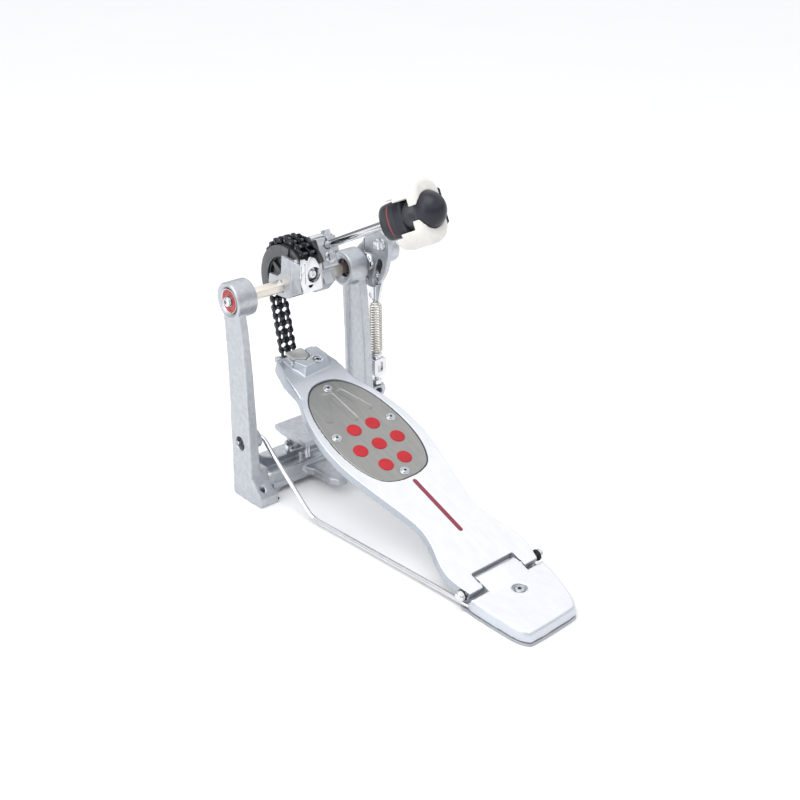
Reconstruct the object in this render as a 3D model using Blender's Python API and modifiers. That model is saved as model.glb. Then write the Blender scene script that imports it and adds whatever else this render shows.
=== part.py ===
"""Bass drum pedal: one assembly of separate pieces, in metres, +Z up, +Y towards the drum."""
import math

import bpy
import bmesh
from mathutils import Matrix, Vector

# Driving dimensions, in millimetres and degrees.
AXLE_HEIGHT = 190.0
AXLE_FLATS = 10.6
POST_THICKNESS = 9.0
HOUSING_RADIUS = 16.5
HOUSING_LENGTH = 20.4
BEARING_RADIUS = 11.0
HINGE_Y = -261.9
HINGE_Z = 13.4
BOARD_ANGLE = 20.9
BEATER_ANGLE = 64.6
BEATER_X = 27.0
SHAFT_OFFSET = 23.0
SHAFT_DIAMETER = 7.4
HEAD_CENTRE = 171.0
CAM_RADIUS = 32.4
CAM_RISE = 7.5
CHAIN_PITCH = 8.0
CHAIN_WIDTH = 17.0
CHAIN_TILT = 11.76
CHAIN_LINKS = 10
PIN_RADIUS = 1.3
ROLLER_RADIUS = 2.8
ROLLER_HALF = 6.4
SIDE_PLATE_RADIUS = 3.2
INNER_PLATES = (4.9, 6.5)
OUTER_PLATES = (6.9, 8.4)
SPRING_X = 84.0
SPRING_Y = -10.0
SPRING_TOP = 151.0
SPRING_BOTTOM = 101.0
HOOK_PIN = (-17.0, -9.0)
HOOK_SLOT = (2.4, 0.6)
HOOK_PIN_RADIUS = 2.2
ROCKER_HUB_RADIUS = 9.3
TROUGH_FLOOR = 9.0
SHELF_TOP = 7.0
JAW_PIVOT = (2.0, 27.5)
JAW_HALF = 11.5
CLAMP_SCREW_Y = -7.0
CLAMP_SCREW_TIP = 16.0
SPRING_TURNS = 21
GAP = 0.3

DOT_ROW = 160.4
DOT_STEP = 20.8
DOT_RISE = 22.7

MM = 0.001
AXLE_BORE = AXLE_FLATS / math.sqrt(3) + GAP + 0.1
DOT_SPOTS = [(0.0, DOT_ROW), (DOT_STEP, DOT_ROW), (-DOT_STEP, DOT_ROW),
             (DOT_STEP / 2, DOT_ROW + DOT_RISE), (-DOT_STEP / 2, DOT_ROW + DOT_RISE),
             (DOT_STEP / 2, DOT_ROW - DOT_RISE), (-DOT_STEP / 2, DOT_ROW - DOT_RISE)]
FOOT_OUTLINE = [(74.3, -33.7), (58.2, -31.9), (49.7, -20.8), (30.0, -18.0), (30.0, 8.4), (73.6, 8.4)]
AXLE = (0.0, 0.0, AXLE_HEIGHT)
HINGE = (0.0, HINGE_Y, HINGE_Z)
HEEL_OUTLINE = [(-39.2, -271.5), (-42.0, -277.0), (-41.4, -300.0), (-40.5, -318.0), (-37.0, -328.0),
                (-30.0, -330.0), (11.7, -329.0), (18.5, -325.0), (24.0, -318.0), (32.0, -300.0),
                (39.5, -282.0), (42.0, -276.0), (39.2, -271.5)]
ORIGIN = (0.0, 0.0, 0.0)
TILT = math.radians(CHAIN_TILT)
CHAIN_LENGTH = CHAIN_PITCH * CHAIN_LINKS
TOE_PIVOT = (0.0, CAM_RADIUS * math.cos(TILT) - CHAIN_LENGTH * math.sin(TILT),
             AXLE_HEIGHT + CAM_RISE - CAM_RADIUS * math.sin(TILT) - CHAIN_LENGTH * math.cos(TILT))

for old in list(bpy.data.objects):
    bpy.data.objects.remove(old, do_unlink=True)
parts = bpy.data.collections.new("bass_drum_pedal")
cutters = bpy.data.collections.new("cutters")
bpy.context.scene.collection.children.link(parts)
bpy.context.scene.collection.children.link(cutters)


# ---------------------------------------------------------------- helpers
def new_object(name, mesh, at=ORIGIN, turn=0.0, tool=False):
    """Links a mesh as an object whose origin is `at`, turned about X by `turn` degrees."""
    made = bpy.data.objects.new(name, mesh)
    made.location = Vector(at) * MM
    made.rotation_euler = (math.radians(turn), 0.0, 0.0)
    (cutters if tool else parts).objects.link(made)
    if tool:
        made.hide_render = True
        made.display_type = "WIRE"
    return made


def from_bmesh(name, shape, **where):
    bmesh.ops.recalc_face_normals(shape, faces=shape.faces)
    mesh = bpy.data.meshes.new(name)
    shape.to_mesh(mesh)
    shape.free()
    mesh.shade_smooth()
    mesh.set_sharp_from_angle(angle=math.radians(35.0))
    return new_object(name, mesh, **where)


def block(name, low, high, **where):
    """A box between two opposite corners, given in the object's own frame."""
    shape = bmesh.new()
    bmesh.ops.create_cube(shape, size=1.0)
    low, high = Vector(low) * MM, Vector(high) * MM
    size = high - low
    for vert in shape.verts:
        vert.co = Vector([(low[i] + high[i]) / 2 + vert.co[i] * size[i] for i in range(3)])
    return from_bmesh(name, shape, **where)


def rod(name, start, end, radius, top=None, sides=24, spin=0.0, **where):
    """A cylinder or cone between two points."""
    start, end = Vector(start) * MM, Vector(end) * MM
    along = end - start
    shape = bmesh.new()
    bmesh.ops.create_cone(
        shape, cap_ends=True, segments=sides, radius1=radius * MM,
        radius2=(radius if top is None else top) * MM, depth=along.length)
    turn = along.to_track_quat("Z", "Y").to_matrix().to_4x4()
    spun = Matrix.Rotation(math.radians(spin), 4, "Z")
    bmesh.ops.transform(shape, matrix=Matrix.Translation((start + end) / 2) @ turn @ spun,
                        verts=shape.verts)
    return from_bmesh(name, shape, **where)


def plate(name, outline, low, high, axis="Z", **where):
    """A flat outline pushed from `low` to `high` along an axis of the object's frame."""
    curve = bpy.data.curves.new(name, "CURVE")
    curve.dimensions = "2D"
    curve.fill_mode = "BOTH"
    curve.extrude = (high - low) / 2 * MM
    line = curve.splines.new("POLY")
    line.use_cyclic_u = True
    line.points.add(len(outline) - 1)
    for place, (u, v) in zip(line.points, outline):
        place.co = (u * MM, v * MM, 0.0, 1.0)
    flat = bpy.data.objects.new(name + "_outline", curve)
    parts.objects.link(flat)
    bpy.context.view_layer.update()
    seen = flat.evaluated_get(bpy.context.evaluated_depsgraph_get())
    mesh = bpy.data.meshes.new_from_object(seen)
    bpy.data.objects.remove(flat, do_unlink=True)
    shape = bmesh.new()
    shape.from_mesh(mesh)
    bpy.data.meshes.remove(mesh)
    bmesh.ops.remove_doubles(shape, verts=shape.verts, dist=1e-6)
    bmesh.ops.dissolve_limit(shape, angle_limit=0.01, verts=shape.verts, edges=shape.edges)
    stand = {"X": Matrix(((0, 0, 1), (1, 0, 0), (0, 1, 0))), "Y": Matrix(((1, 0, 0), (0, 0, -1), (0, 1, 0))),
             "Z": Matrix.Identity(3)}[axis]
    middle = -(low + high) / 2 if axis == "Y" else (low + high) / 2
    rise = Matrix.Translation((0.0, 0.0, middle * MM))
    bmesh.ops.transform(shape, matrix=stand.to_4x4() @ rise, verts=shape.verts)
    return from_bmesh(name, shape, **where)


def tube_path(name, points, radius, sides_level=2, **where):
    """A round bar through a list of points, with filled ends."""
    curve = bpy.data.curves.new(name, "CURVE")
    curve.dimensions = "3D"
    curve.bevel_depth = radius * MM
    curve.bevel_resolution = sides_level
    curve.use_fill_caps = True
    line = curve.splines.new("POLY")
    line.points.add(len(points) - 1)
    for place, point in zip(line.points, points):
        place.co = (point[0] * MM, point[1] * MM, point[2] * MM, 1.0)
    return new_object(name, curve, **where)


def sphere(name, centre, radius, **where):
    shape = bmesh.new()
    bmesh.ops.create_uvsphere(shape, u_segments=32, v_segments=16, radius=radius * MM,
                              matrix=Matrix.Translation(Vector(centre) * MM))
    return from_bmesh(name, shape, **where)


def boolean(target, tools, kind):
    for tool in tools:
        step = target.modifiers.new(kind.lower(), "BOOLEAN")
        step.operation = kind
        step.solver = "EXACT"
        step.object = tool
    return target


def cut(target, *tools):
    return boolean(target, tools, "DIFFERENCE")


def join(target, *tools):
    return boolean(target, tools, "UNION")


def soften(target, width, segments=1, angle=40.0):
    step = target.modifiers.new("soften", "BEVEL")
    step.width = width * MM
    step.segments = segments
    step.limit_method = "ANGLE"
    step.angle_limit = math.radians(angle)
    return target


def paint(target, colour, metallic, roughness):
    material = bpy.data.materials.new(target.name)
    material.use_nodes = True
    shader = material.node_tree.nodes["Principled BSDF"]
    shader.inputs["Base Color"].default_value = (*colour, 1.0)
    shader.inputs["Metallic"].default_value = metallic
    shader.inputs["Roughness"].default_value = roughness
    target.data.materials.append(material)
    return target


def cast(target):
    return paint(target, (0.62, 0.64, 0.66), 0.8, 0.45)


def bright(target):
    return paint(target, (0.78, 0.78, 0.80), 1.0, 0.15)


def black(target):
    return paint(target, (0.05, 0.05, 0.06), 0.3, 0.5)


def arc(centre, radius, start, stop, steps):
    """Points on a circle from `start` to `stop` degrees."""
    angles = [math.radians(start + (stop - start) * i / steps) for i in range(steps + 1)]
    return [(centre[0] + radius * math.cos(a), centre[1] + radius * math.sin(a)) for a in angles]


def mirrored(outline):
    """Closes a half outline, listed bottom to top at +X, with its own mirror image."""
    return outline + [(-u, v) for u, v in reversed(outline)]


# ---------------------------------------------------------------- base and posts
def make_base():
    """Cross member with a foot at each end, an open trough, a raised front arm and the hoop shelf."""
    base = block("base_frame", (-71.0, -19.0, 0.0), (71.0, 9.2, 20.0))
    wall = plate("base_wall", mirrored([(62.0, 16.0), (62.0, 48.0), (56.0, 43.0), (50.0, 33.0), (42.0, 28.0),
                                        (18.0, 26.0), (16.8, 20.5)]),
                 3.8, 8.9, axis="Y", tool=True)
    arm = plate("base_arm", mirrored([(15.0, -17.0), (9.0, -30.0), (8.5, -54.0), (5.0, -61.0)]),
                9.0, 16.0, tool=True)
    shelf = block("base_shelf", (-22.0, 2.0, 0.0), (22.0, 44.0, SHELF_TOP), tool=True)
    feet = [plate("base_foot", [(side * x, y) for x, y in FOOT_OUTLINE], 0.0, 9.0, tool=True)
            for side in (-1, 1)]
    hollow = block("base_hollow", (-46.0, -14.0, TROUGH_FLOOR), (46.0, 4.2, 60.0), tool=True)
    arch = plate("base_arch", [(-44.0, -9.0), (-43.0, -0.4), (-36.0, 3.5), (-18.0, 5.0), (18.0, 5.0),
                               (36.0, 3.5), (43.0, -0.4), (44.0, -9.0)], -30.0, -4.0, axis="Y", tool=True)
    join(base, wall, arm, shelf, *feet)
    cut(base, hollow, arch)
    for side in (-1, 1):
        low, high = sorted((side * (50.5 - GAP), side * (70.0 + GAP)))
        cut(base, block("pad_recess", (low, -30.0 - GAP, -5.0), (high, 6.0 + GAP, 1.6 + GAP), tool=True))
        low, high = sorted((side * (JAW_HALF + GAP), side * (JAW_HALF + 4.0)))
        join(base, plate("jaw_ear", [(-3.0, 8.0), (7.5, 8.0), (7.0, 28.0), (4.5, 31.5), (-0.5, 31.5),
                                     (-3.0, 28.0)], low, high, axis="X", tool=True))
    cut(base, rod("ear_bore", (-40.0, *JAW_PIVOT), (40.0, *JAW_PIVOT), 1.8 + GAP, sides=16, tool=True))
    return cast(base)


def make_post(side):
    """Upright bar with a round bearing housing on top, bolted down on its foot."""
    name = "right_post" if side > 0 else "left_post"
    outer, inner = side * 71.4, side * (71.4 - POST_THICKNESS)
    low, high = min(outer, inner), max(outer, inner)
    post = plate(name, [(-21.0, 20.0 + GAP), (8.3, 20.0 + GAP), (8.0, 120.0), (9.5, 168.0),
                        (11.0, 184.0), (-13.0, 184.0), (-17.0, 160.0), (-19.5, 110.0)],
                 low, high, axis="X")
    start, end = side * (71.6 - HOUSING_LENGTH), side * 71.6
    barrel = rod("post_barrel", (start, 0, AXLE_HEIGHT), (end, 0, AXLE_HEIGHT),
                 HOUSING_RADIUS, sides=40, tool=True)
    boss = rod("post_boss", (side * 52.0, -4.0, 54.0), (side * 70.0, -4.0, 54.0), 8.0, tool=True)
    bore = rod("post_bore", (side * 40.0, 0, AXLE_HEIGHT), (side * 80.0, 0, AXLE_HEIGHT),
               BEARING_RADIUS + GAP, sides=40, tool=True)
    hole = rod("post_wire_hole", (side * 40.0, -4.0, 54.0), (side * 80.0, -4.0, 54.0), 2.6,
               sides=16, tool=True)
    join(post, barrel, boss)
    cut(post, bore, hole)
    soften(post, 0.6, angle=50.0)
    return cast(post)


def make_bearing(side):
    """Ball bearing drawn as one ring with its seal, pressed in the housing."""
    name = "right_bearing" if side > 0 else "left_bearing"
    start, end = side * 63.0, side * 70.6
    ring = rod(name, (start, 0, AXLE_HEIGHT), (end, 0, AXLE_HEIGHT), BEARING_RADIUS, sides=40)
    bore = rod("bearing_bore", (side * 50.0, 0, AXLE_HEIGHT), (side * 80.0, 0, AXLE_HEIGHT),
               4.0 + GAP, sides=24, tool=True)
    cut(ring, bore)
    return paint(ring, (0.62, 0.12, 0.12), 0.1, 0.4)


def make_foot_rubber(side):
    name = "right_foot_rubber" if side > 0 else "left_foot_rubber"
    low, high = sorted((side * 50.5, side * 70.0))
    pad = block(name, (low, -30.0, 0.0), (high, 6.0, 1.6))
    return paint(pad, (0.06, 0.06, 0.06), 0.0, 0.9)


# ---------------------------------------------------------------- axle group
def make_axle():
    """Hexagonal axle with turned ends that run in the bearings."""
    flats = AXLE_FLATS / math.sqrt(3)
    axle = rod("axle", (-50.0, 0, 0), (50.0, 0, 0), flats, sides=6, at=AXLE)
    stub = rod("axle_stub", (-69.5, 0, 0), (78.0, 0, 0), 4.0, sides=24, at=AXLE, tool=True)
    collar = rod("axle_collar", (-62.6, 0, 0), (62.6, 0, 0), 5.0, sides=24, at=AXLE, tool=True)
    join(axle, collar, stub)
    return paint(axle, (0.80, 0.74, 0.66), 0.9, 0.3)


def make_axle_bolt():
    """Socket bolt that closes the left end of the axle."""
    bolt = rod("axle_bolt", (-74.0, 0, 0), (-69.8, 0, 0), 3.7, at=AXLE)
    socket = rod("bolt_socket", (-80.0, 0, 0), (-72.0, 0, 0), 1.9, sides=6, at=AXLE, tool=True)
    cut(bolt, socket)
    soften(bolt, 0.4)
    return bright(bolt)


def make_axle_nut():
    """Hexagon nut between the right housing and the spring rocker."""
    nut = rod("axle_nut", (72.0, 0, 0), (76.0, 0, 0), 7.0, sides=6, at=AXLE)
    bore = rod("nut_bore", (65.0, 0, 0), (80.0, 0, 0), 4.0 + GAP, at=AXLE, tool=True)
    cut(nut, bore)
    return bright(nut)


def make_cam():
    """Spoked cam, set off centre, with a rim groove that carries the chain."""
    middle = (0.0, CAM_RISE)
    seat = CAM_RADIUS - 3.9
    cam = plate("cam", arc(middle, seat, -38.0, 148.0, 36), -9.0, 9.0, axis="X", at=AXLE)
    flange = plate("cam_flange", arc(middle, CAM_RADIUS + 2.6, -38.0, 148.0, 36), -12.0, -9.2,
                   axis="X", at=AXLE, tool=True)
    bridge = plate("cam_bridge", arc(middle, seat - 0.5, -38.0, 148.0, 36), -10.0, -5.0,
                   axis="X", at=AXLE, tool=True)
    other = plate("cam_other", arc(middle, CAM_RADIUS + 0.2, -38.0, 148.0, 36), 9.2, 11.5,
                  axis="X", at=AXLE, tool=True)
    bridge_two = plate("cam_bridge_two", arc(middle, seat - 0.5, -38.0, 148.0, 36), 5.0, 10.0,
                       axis="X", at=AXLE, tool=True)
    windows = []
    for start, stop in ((-12.0, 34.0), (44.0, 84.0), (96.0, 140.0)):
        rim = arc(middle, seat - 5.5, start, stop, 8)
        root = arc(middle, 13.5, stop - 8.0, start + 8.0, 3)
        windows.append(plate("cam_window", rim + root, -20.0, 20.0, axis="X", at=AXLE, tool=True))
    seat_cut = rod("cam_seat", (-20.0, 0, 0), (20.0, 0, 0), 9.0 + GAP, sides=24, at=AXLE, tool=True)
    join(cam, bridge, flange, bridge_two, other)
    cut(cam, seat_cut, *windows)
    return paint(cam, (0.10, 0.10, 0.11), 0.0, 0.5)


def make_cam_hub():
    """Cast hub on the axle that carries the cam and the chain clamp."""
    hub = rod("cam_hub", (-13.0, 0, 0), (12.5, 0, 0), 9.0, at=AXLE)
    horn = plate("hub_horn", [(-4.0, 20.0), (-9.5, 26.0), (-15.0, 20.0), (-14.5, -8.0), (-8.0, -14.0),
                              (3.0, -14.5), (10.0, -8.0), (25.0, 3.0), (9.0, 6.0)],
                 -16.5, -12.4, axis="X", at=AXLE, tool=True)
    shelf = block("hub_shelf", (-15.0, -22.0, -14.0), (12.5, -7.0, 8.8), at=AXLE, tool=True)
    bore = rod("hub_bore", (-30.0, 0, 0), (30.0, 0, 0), AXLE_BORE, at=AXLE, tool=True)
    bolt_hole = rod("hub_bolt_hole", (2.5, -40.0, 2.0), (2.5, -18.0, 2.0), 3.2, at=AXLE, tool=True)
    join(hub, horn, shelf)
    cut(hub, bore, bolt_hole)
    return cast(hub)


# ---------------------------------------------------------------- chain
def capsule(a, b, radius):
    """Rounded strip outline round two (y, z) points."""
    heading = math.degrees(math.atan2(b[1] - a[1], b[0] - a[0]))
    return arc(b, radius, heading - 90, heading + 90, 3) + arc(a, radius, heading + 90, heading + 270, 3)


def cam_pin(index):
    """Chain pin on the cam, relative to the axle, counted from where the chain leaves the cam."""
    step = 2 * math.degrees(math.asin(CHAIN_PITCH / 2 / CAM_RADIUS))
    angle = math.radians(-CHAIN_TILT + index * step)
    return (CAM_RADIUS * math.cos(angle), CAM_RISE + CAM_RADIUS * math.sin(angle))


def across(name, pin, half, radius, where):
    return rod(name, (-half, *pin), (half, *pin), radius, sides=8, tool=True, **where)


def chain_run(name, pins, inner_links, **where):
    """Duplex chain through a list of pins; every link in `inner_links` is an inner one."""
    first = pins[0]
    radius = ROLLER_RADIUS if 0 in inner_links else PIN_RADIUS
    half = ROLLER_HALF if 0 in inner_links else CHAIN_WIDTH / 2
    run = rod(name, (-half, *first), (half, *first), radius, sides=8, **where)
    for i, pin in enumerate(pins[1:], start=1):
        only_outer = i == len(pins) - 1 and i - 1 not in inner_links
        join(run, across("chain_pin", pin, CHAIN_WIDTH / 2 if only_outer or i < len(pins) - 1 else ROLLER_HALF,
                         PIN_RADIUS, where))
        if not only_outer:
            join(run, across("chain_roller", pin, ROLLER_HALF, ROLLER_RADIUS, where))
    for i in range(len(pins) - 1):
        near, far = INNER_PLATES if i in inner_links else OUTER_PLATES
        bands = [(-far, -near), (near, far)] + ([(-1.5, 1.5)] if i in inner_links else [])
        for low, high in bands:
            join(run, plate("chain_side", capsule(pins[i], pins[i + 1], SIDE_PLATE_RADIUS), low, high,
                            axis="X", tool=True, **where))
    return run


def bored(run, pins, **where):
    """Opens pin holes at the free ends of an inner link."""
    for pin in pins:
        cut(run, across("chain_bore", pin, 20.0, PIN_RADIUS + GAP, where))
    return run


def make_chain_on_cam():
    """The part of the chain that stays on the cam, up to its clamp."""
    pins = [cam_pin(i) for i in range(4, 12)]
    run = chain_run("chain_on_cam", pins, (0, 2, 4, 6), at=AXLE)
    return black(bored(run, [pins[0]], at=AXLE))


def make_lifting_link(number):
    """One of the four links that leave the cam when the board goes down."""
    upper, lower = cam_pin(5 - number), cam_pin(4 - number)
    origin = (0.0, upper[0], AXLE_HEIGHT + upper[1])
    pins = [(0.0, 0.0), (lower[0] - upper[0], lower[1] - upper[1])]
    inner = number % 2 == 0
    link = chain_run("chain_link_%d" % number, pins, (0,) if inner else (), at=origin)
    if inner:
        bored(link, pins, at=origin)
    return black(link)


def make_chain_straight():
    """The hanging part of the chain, from the toe pin to the cam, with its last pin left as two stubs."""
    pins = [(0.0, CHAIN_PITCH * i) for i in range(CHAIN_LINKS + 1)]
    where = dict(at=TOE_PIVOT, turn=-CHAIN_TILT)
    inner = tuple(i for i in range(CHAIN_LINKS) if (CHAIN_LINKS - i) % 2 == 0)
    run = chain_run("chain_straight", pins, inner, **where)
    join(run, across("toe_pin", pins[0], 13.0, PIN_RADIUS, where))
    cut(run, across("open_pivot", pins[-1], OUTER_PLATES[0] - 0.2, PIN_RADIUS + 1.0, where))
    return black(run)


def make_chain_clamp():
    """Chrome plate that ties the end of the chain to the hub."""
    clamp = plate("chain_clamp", [(-25.4, -13.0), (-22.3, -13.0), (-22.3, 14.0), (-24.2, 18.5),
                                  (-27.2, 18.5), (-25.4, 13.0)], -8.0, 12.5, axis="X", at=AXLE)
    bore = rod("clamp_bore", (2.5, -40.0, 2.0), (2.5, -5.0, 2.0), 3.3, at=AXLE, tool=True)
    cut(clamp, bore)
    return bright(clamp)


def make_chain_bolt():
    bolt = rod("chain_clamp_bolt", (2.5, -31.0, 2.0), (2.5, -25.4 - GAP, 2.0), 5.0, at=AXLE)
    head = block("bolt_square", (-0.2, -37.0, -0.7), (5.2, -30.0, 4.7), at=AXLE, tool=True)
    shank = rod("bolt_shank", (2.5, -30.0, 2.0), (2.5, -22.4, 2.0), 2.9, at=AXLE, tool=True)
    join(bolt, head, shank)
    return bright(bolt)


# ---------------------------------------------------------------- beater
def make_holder():
    """Cast block on the axle that grips the beater shaft."""
    outline = [(29.5, -3.0), (29.5, 26.0), (18.0, 26.0), (9.0, 17.0), (0.0, 14.5), (-10.0, 11.0),
               (-14.0, 0.0), (-10.0, -10.0), (0.0, -13.0), (12.0, -9.0), (20.0, -3.0)]
    where = dict(at=AXLE, turn=BEATER_ANGLE)
    holder = plate("beater_holder", outline, 16.5, 37.5, axis="X", **where)
    axle_bore = rod("holder_axle_bore", (0, 0, 0), (60.0, 0, 0), AXLE_BORE, tool=True, **where)
    shaft_bore = rod("holder_shaft_bore", (BEATER_X, SHAFT_OFFSET, -20.0),
                     (BEATER_X, SHAFT_OFFSET, 50.0), SHAFT_DIAMETER / 2 + GAP, tool=True, **where)
    cut(holder, axle_bore, shaft_bore)
    soften(holder, 0.8)
    return cast(holder)


def make_holder_key(number):
    """Square-headed key bolt of the beater holder."""
    where = dict(at=AXLE, turn=BEATER_ANGLE)
    if number == 1:
        foot, mid, tip = (BEATER_X, 29.5 + GAP, 12.0), (BEATER_X, 33.0, 12.0), (BEATER_X, 39.0, 12.0)
    else:
        foot, mid, tip = (BEATER_X, 12.6, 22.0), (BEATER_X, 10.6, 24.5), (BEATER_X, 6.6, 29.5)
    key = rod("holder_key_%d" % number, foot, mid, 4.4, **where)
    head = rod("key_head", mid if number == 1 else foot, tip, 3.6, sides=4, spin=45, tool=True, **where)
    join(key, head)
    return bright(key)


BEATER_ORIGIN = (BEATER_X, SHAFT_OFFSET * math.cos(math.radians(BEATER_ANGLE)),
                 AXLE_HEIGHT + SHAFT_OFFSET * math.sin(math.radians(BEATER_ANGLE)))
ON_SHAFT = dict(at=BEATER_ORIGIN, turn=BEATER_ANGLE)


def make_shaft():
    shaft = rod("beater_shaft", (0, 0, -8.0), (0, 0, 150.0), SHAFT_DIAMETER / 2, **ON_SHAFT)
    soften(shaft, 0.6)
    return bright(shaft)


def make_core():
    """Plastic head: flat collar, narrow neck and a ball between the felts."""
    collar = plate("collar", arc((0, 0), 1.0, 0, 337.5, 15), 114.0, 141.0, axis="Z",
                   tool=True, **ON_SHAFT)
    for vert in collar.data.vertices:
        vert.co.x *= 9.0
        vert.co.y *= 15.3
    neck = rod("beater_core", (0, 0, 138.0), (0, 0, 166.0), 11.8, sides=32, **ON_SHAFT)
    ball = sphere("ball", (0, 0, HEAD_CENTRE), 15.8, tool=True, **ON_SHAFT)
    bore = rod("core_bore", (0, 0, 100.0), (0, 0, 151.0), SHAFT_DIAMETER / 2 + GAP,
               tool=True, **ON_SHAFT)
    join(neck, collar, ball)
    cut(neck, bore)
    return black(neck)


def make_felt(side):
    """Felt pad on one striking face of the head."""
    name = "felt_front" if side > 0 else "felt_back"
    low, high = sorted((side * 3.0, side * 27.0))
    pad = block(name, (-14.0, low, 141.0 + 2 * GAP), (14.0, high, 173.0), **ON_SHAFT)
    soften(pad, 4.0, segments=3)
    neck = rod("felt_neck", (0, 0, 130.0), (0, 0, 175.0), 11.8 + GAP, sides=32, tool=True, **ON_SHAFT)
    ball = sphere("felt_ball", (0, 0, HEAD_CENTRE), 15.8 + GAP, tool=True, **ON_SHAFT)
    cut(pad, neck, ball)
    return paint(pad, (0.90, 0.89, 0.86), 0.0, 0.95)


# ---------------------------------------------------------------- return spring
def make_rocker():
    """Clamped arm on the axle end that pulls the spring."""
    outline = [(-4.0, 25.0), (6.0, 22.0), (10.0, 8.0), (8.0, -10.0), (2.0, -22.0), (-8.0, -22.0),
               (-22.0, -15.0), (-31.0, 2.0), (-28.0, 14.0), (-16.0, 23.0)]
    rocker = plate("spring_rocker", outline, 76.6, 81.0, axis="X", at=AXLE)
    bore = rod("rocker_bore", (70.0, 0, 0), (100.0, 0, 0), 4.0 + GAP, at=AXLE, tool=True)
    hub = rod("rocker_hub", (79.0, 0, 0), (87.0, 0, 0), ROCKER_HUB_RADIUS, at=AXLE, tool=True)
    cap = rod("rocker_cap", (86.5, 0, 0), (89.5, 0, 0), 11.5, at=AXLE, tool=True)
    pin = rod("rocker_pin", (79.0, *HOOK_PIN), (90.0, *HOOK_PIN), HOOK_PIN_RADIUS, at=AXLE, tool=True)
    slit = block("rocker_slit", (60.0, -1.0, 0.0), (100.0, 1.0, 40.0), at=AXLE, tool=True)
    join(rocker, hub, cap, pin)
    cut(rocker, bore, slit)
    return cast(rocker)


def make_rocker_bolt():
    bolt = rod("rocker_bolt", (81.0 + GAP, -18.0, 15.0), (86.0, -18.0, 15.0), 4.5, at=AXLE)
    head = block("rocker_bolt_head", (85.0, -20.6, 12.4), (90.0, -15.4, 17.6), at=AXLE, tool=True)
    join(bolt, head)
    return bright(bolt)


def make_hook():
    """Link between the rocker pin and the top of the spring, with a slot for the pin's arc."""
    y, z = HOOK_PIN[0], AXLE_HEIGHT + HOOK_PIN[1]
    neck = SPRING_TOP + 6.0
    eye = arc((y - HOOK_SLOT[0], z), 4.6, 180.0, 90.0, 3) + arc((y, z), 4.6, 90.0, 0.0, 3)
    hook = plate("spring_hook", eye + [(SPRING_Y + 3.0, neck), (SPRING_Y + 3.0, SPRING_TOP + 1.6),
                                       (SPRING_Y - 3.0, SPRING_TOP + 1.6), (SPRING_Y - 3.0, neck)],
                 82.0, 86.0, axis="X")
    reach = HOOK_PIN_RADIUS + GAP + 0.1
    window = (arc((y - HOOK_SLOT[0], z), reach, 270.0, 90.0, 6)
              + arc((y + HOOK_SLOT[1], z), reach, 90.0, -90.0, 6))
    slot = plate("hook_slot", window, 70.0, 100.0, axis="X", tool=True)
    cap = rod("hook_cap", (SPRING_X, SPRING_Y, SPRING_TOP + 1.2), (SPRING_X, SPRING_Y, SPRING_TOP + 4.0),
              6.2, tool=True)
    join(hook, cap)
    cut(hook, slot)
    return bright(hook)


def make_spring():
    """Round-wire extension spring."""
    points = []
    steps = SPRING_TURNS * 9
    for i in range(steps + 1):
        angle = 2 * math.pi * i / 9
        height = SPRING_BOTTOM + (SPRING_TOP - SPRING_BOTTOM) * i / steps
        points.append((SPRING_X + 5.4 * math.cos(angle), SPRING_Y + 5.4 * math.sin(angle), height))
    spring = tube_path("return_spring", points, 0.72)
    return paint(spring, (0.60, 0.57, 0.53), 1.0, 0.3)


def make_adjuster():
    """Threaded rod with a cap that holds the bottom of the spring."""
    adjuster = rod("spring_adjuster", (SPRING_X, SPRING_Y, SPRING_BOTTOM - 12.0),
                   (SPRING_X, SPRING_Y, SPRING_BOTTOM - 1.3), 6.2)
    screw = rod("adjuster_screw", (SPRING_X, SPRING_Y, 48.0),
                (SPRING_X, SPRING_Y, SPRING_BOTTOM - 5.0), 2.1, sides=16, tool=True)
    join(adjuster, screw)
    return bright(adjuster)


def make_anchor():
    """Cast eye on the right post that carries the adjuster."""
    anchor = block("spring_anchor", (71.4 + GAP, SPRING_Y - 6.0, 57.0), (SPRING_X, SPRING_Y + 6.0, 68.0))
    eye = rod("anchor_eye", (SPRING_X, SPRING_Y, 57.0), (SPRING_X, SPRING_Y, 68.0), 7.5, tool=True)
    bore = rod("anchor_bore", (SPRING_X, SPRING_Y, 40.0), (SPRING_X, SPRING_Y, 80.0), 2.1 + GAP, tool=True)
    join(anchor, eye)
    cut(anchor, bore)
    return cast(anchor)


def make_adjuster_nut(name, low, high, radius, sides):
    nut = rod(name, (SPRING_X, SPRING_Y, low), (SPRING_X, SPRING_Y, high), radius, sides=sides)
    bore = rod("nut_bore", (SPRING_X, SPRING_Y, 30.0), (SPRING_X, SPRING_Y, 99.0), 2.1 + GAP,
               sides=16, tool=True)
    cut(nut, bore)
    return bright(nut)


# ---------------------------------------------------------------- footboard and heel
ON_BOARD = dict(at=HINGE, turn=BOARD_ANGLE)


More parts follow.
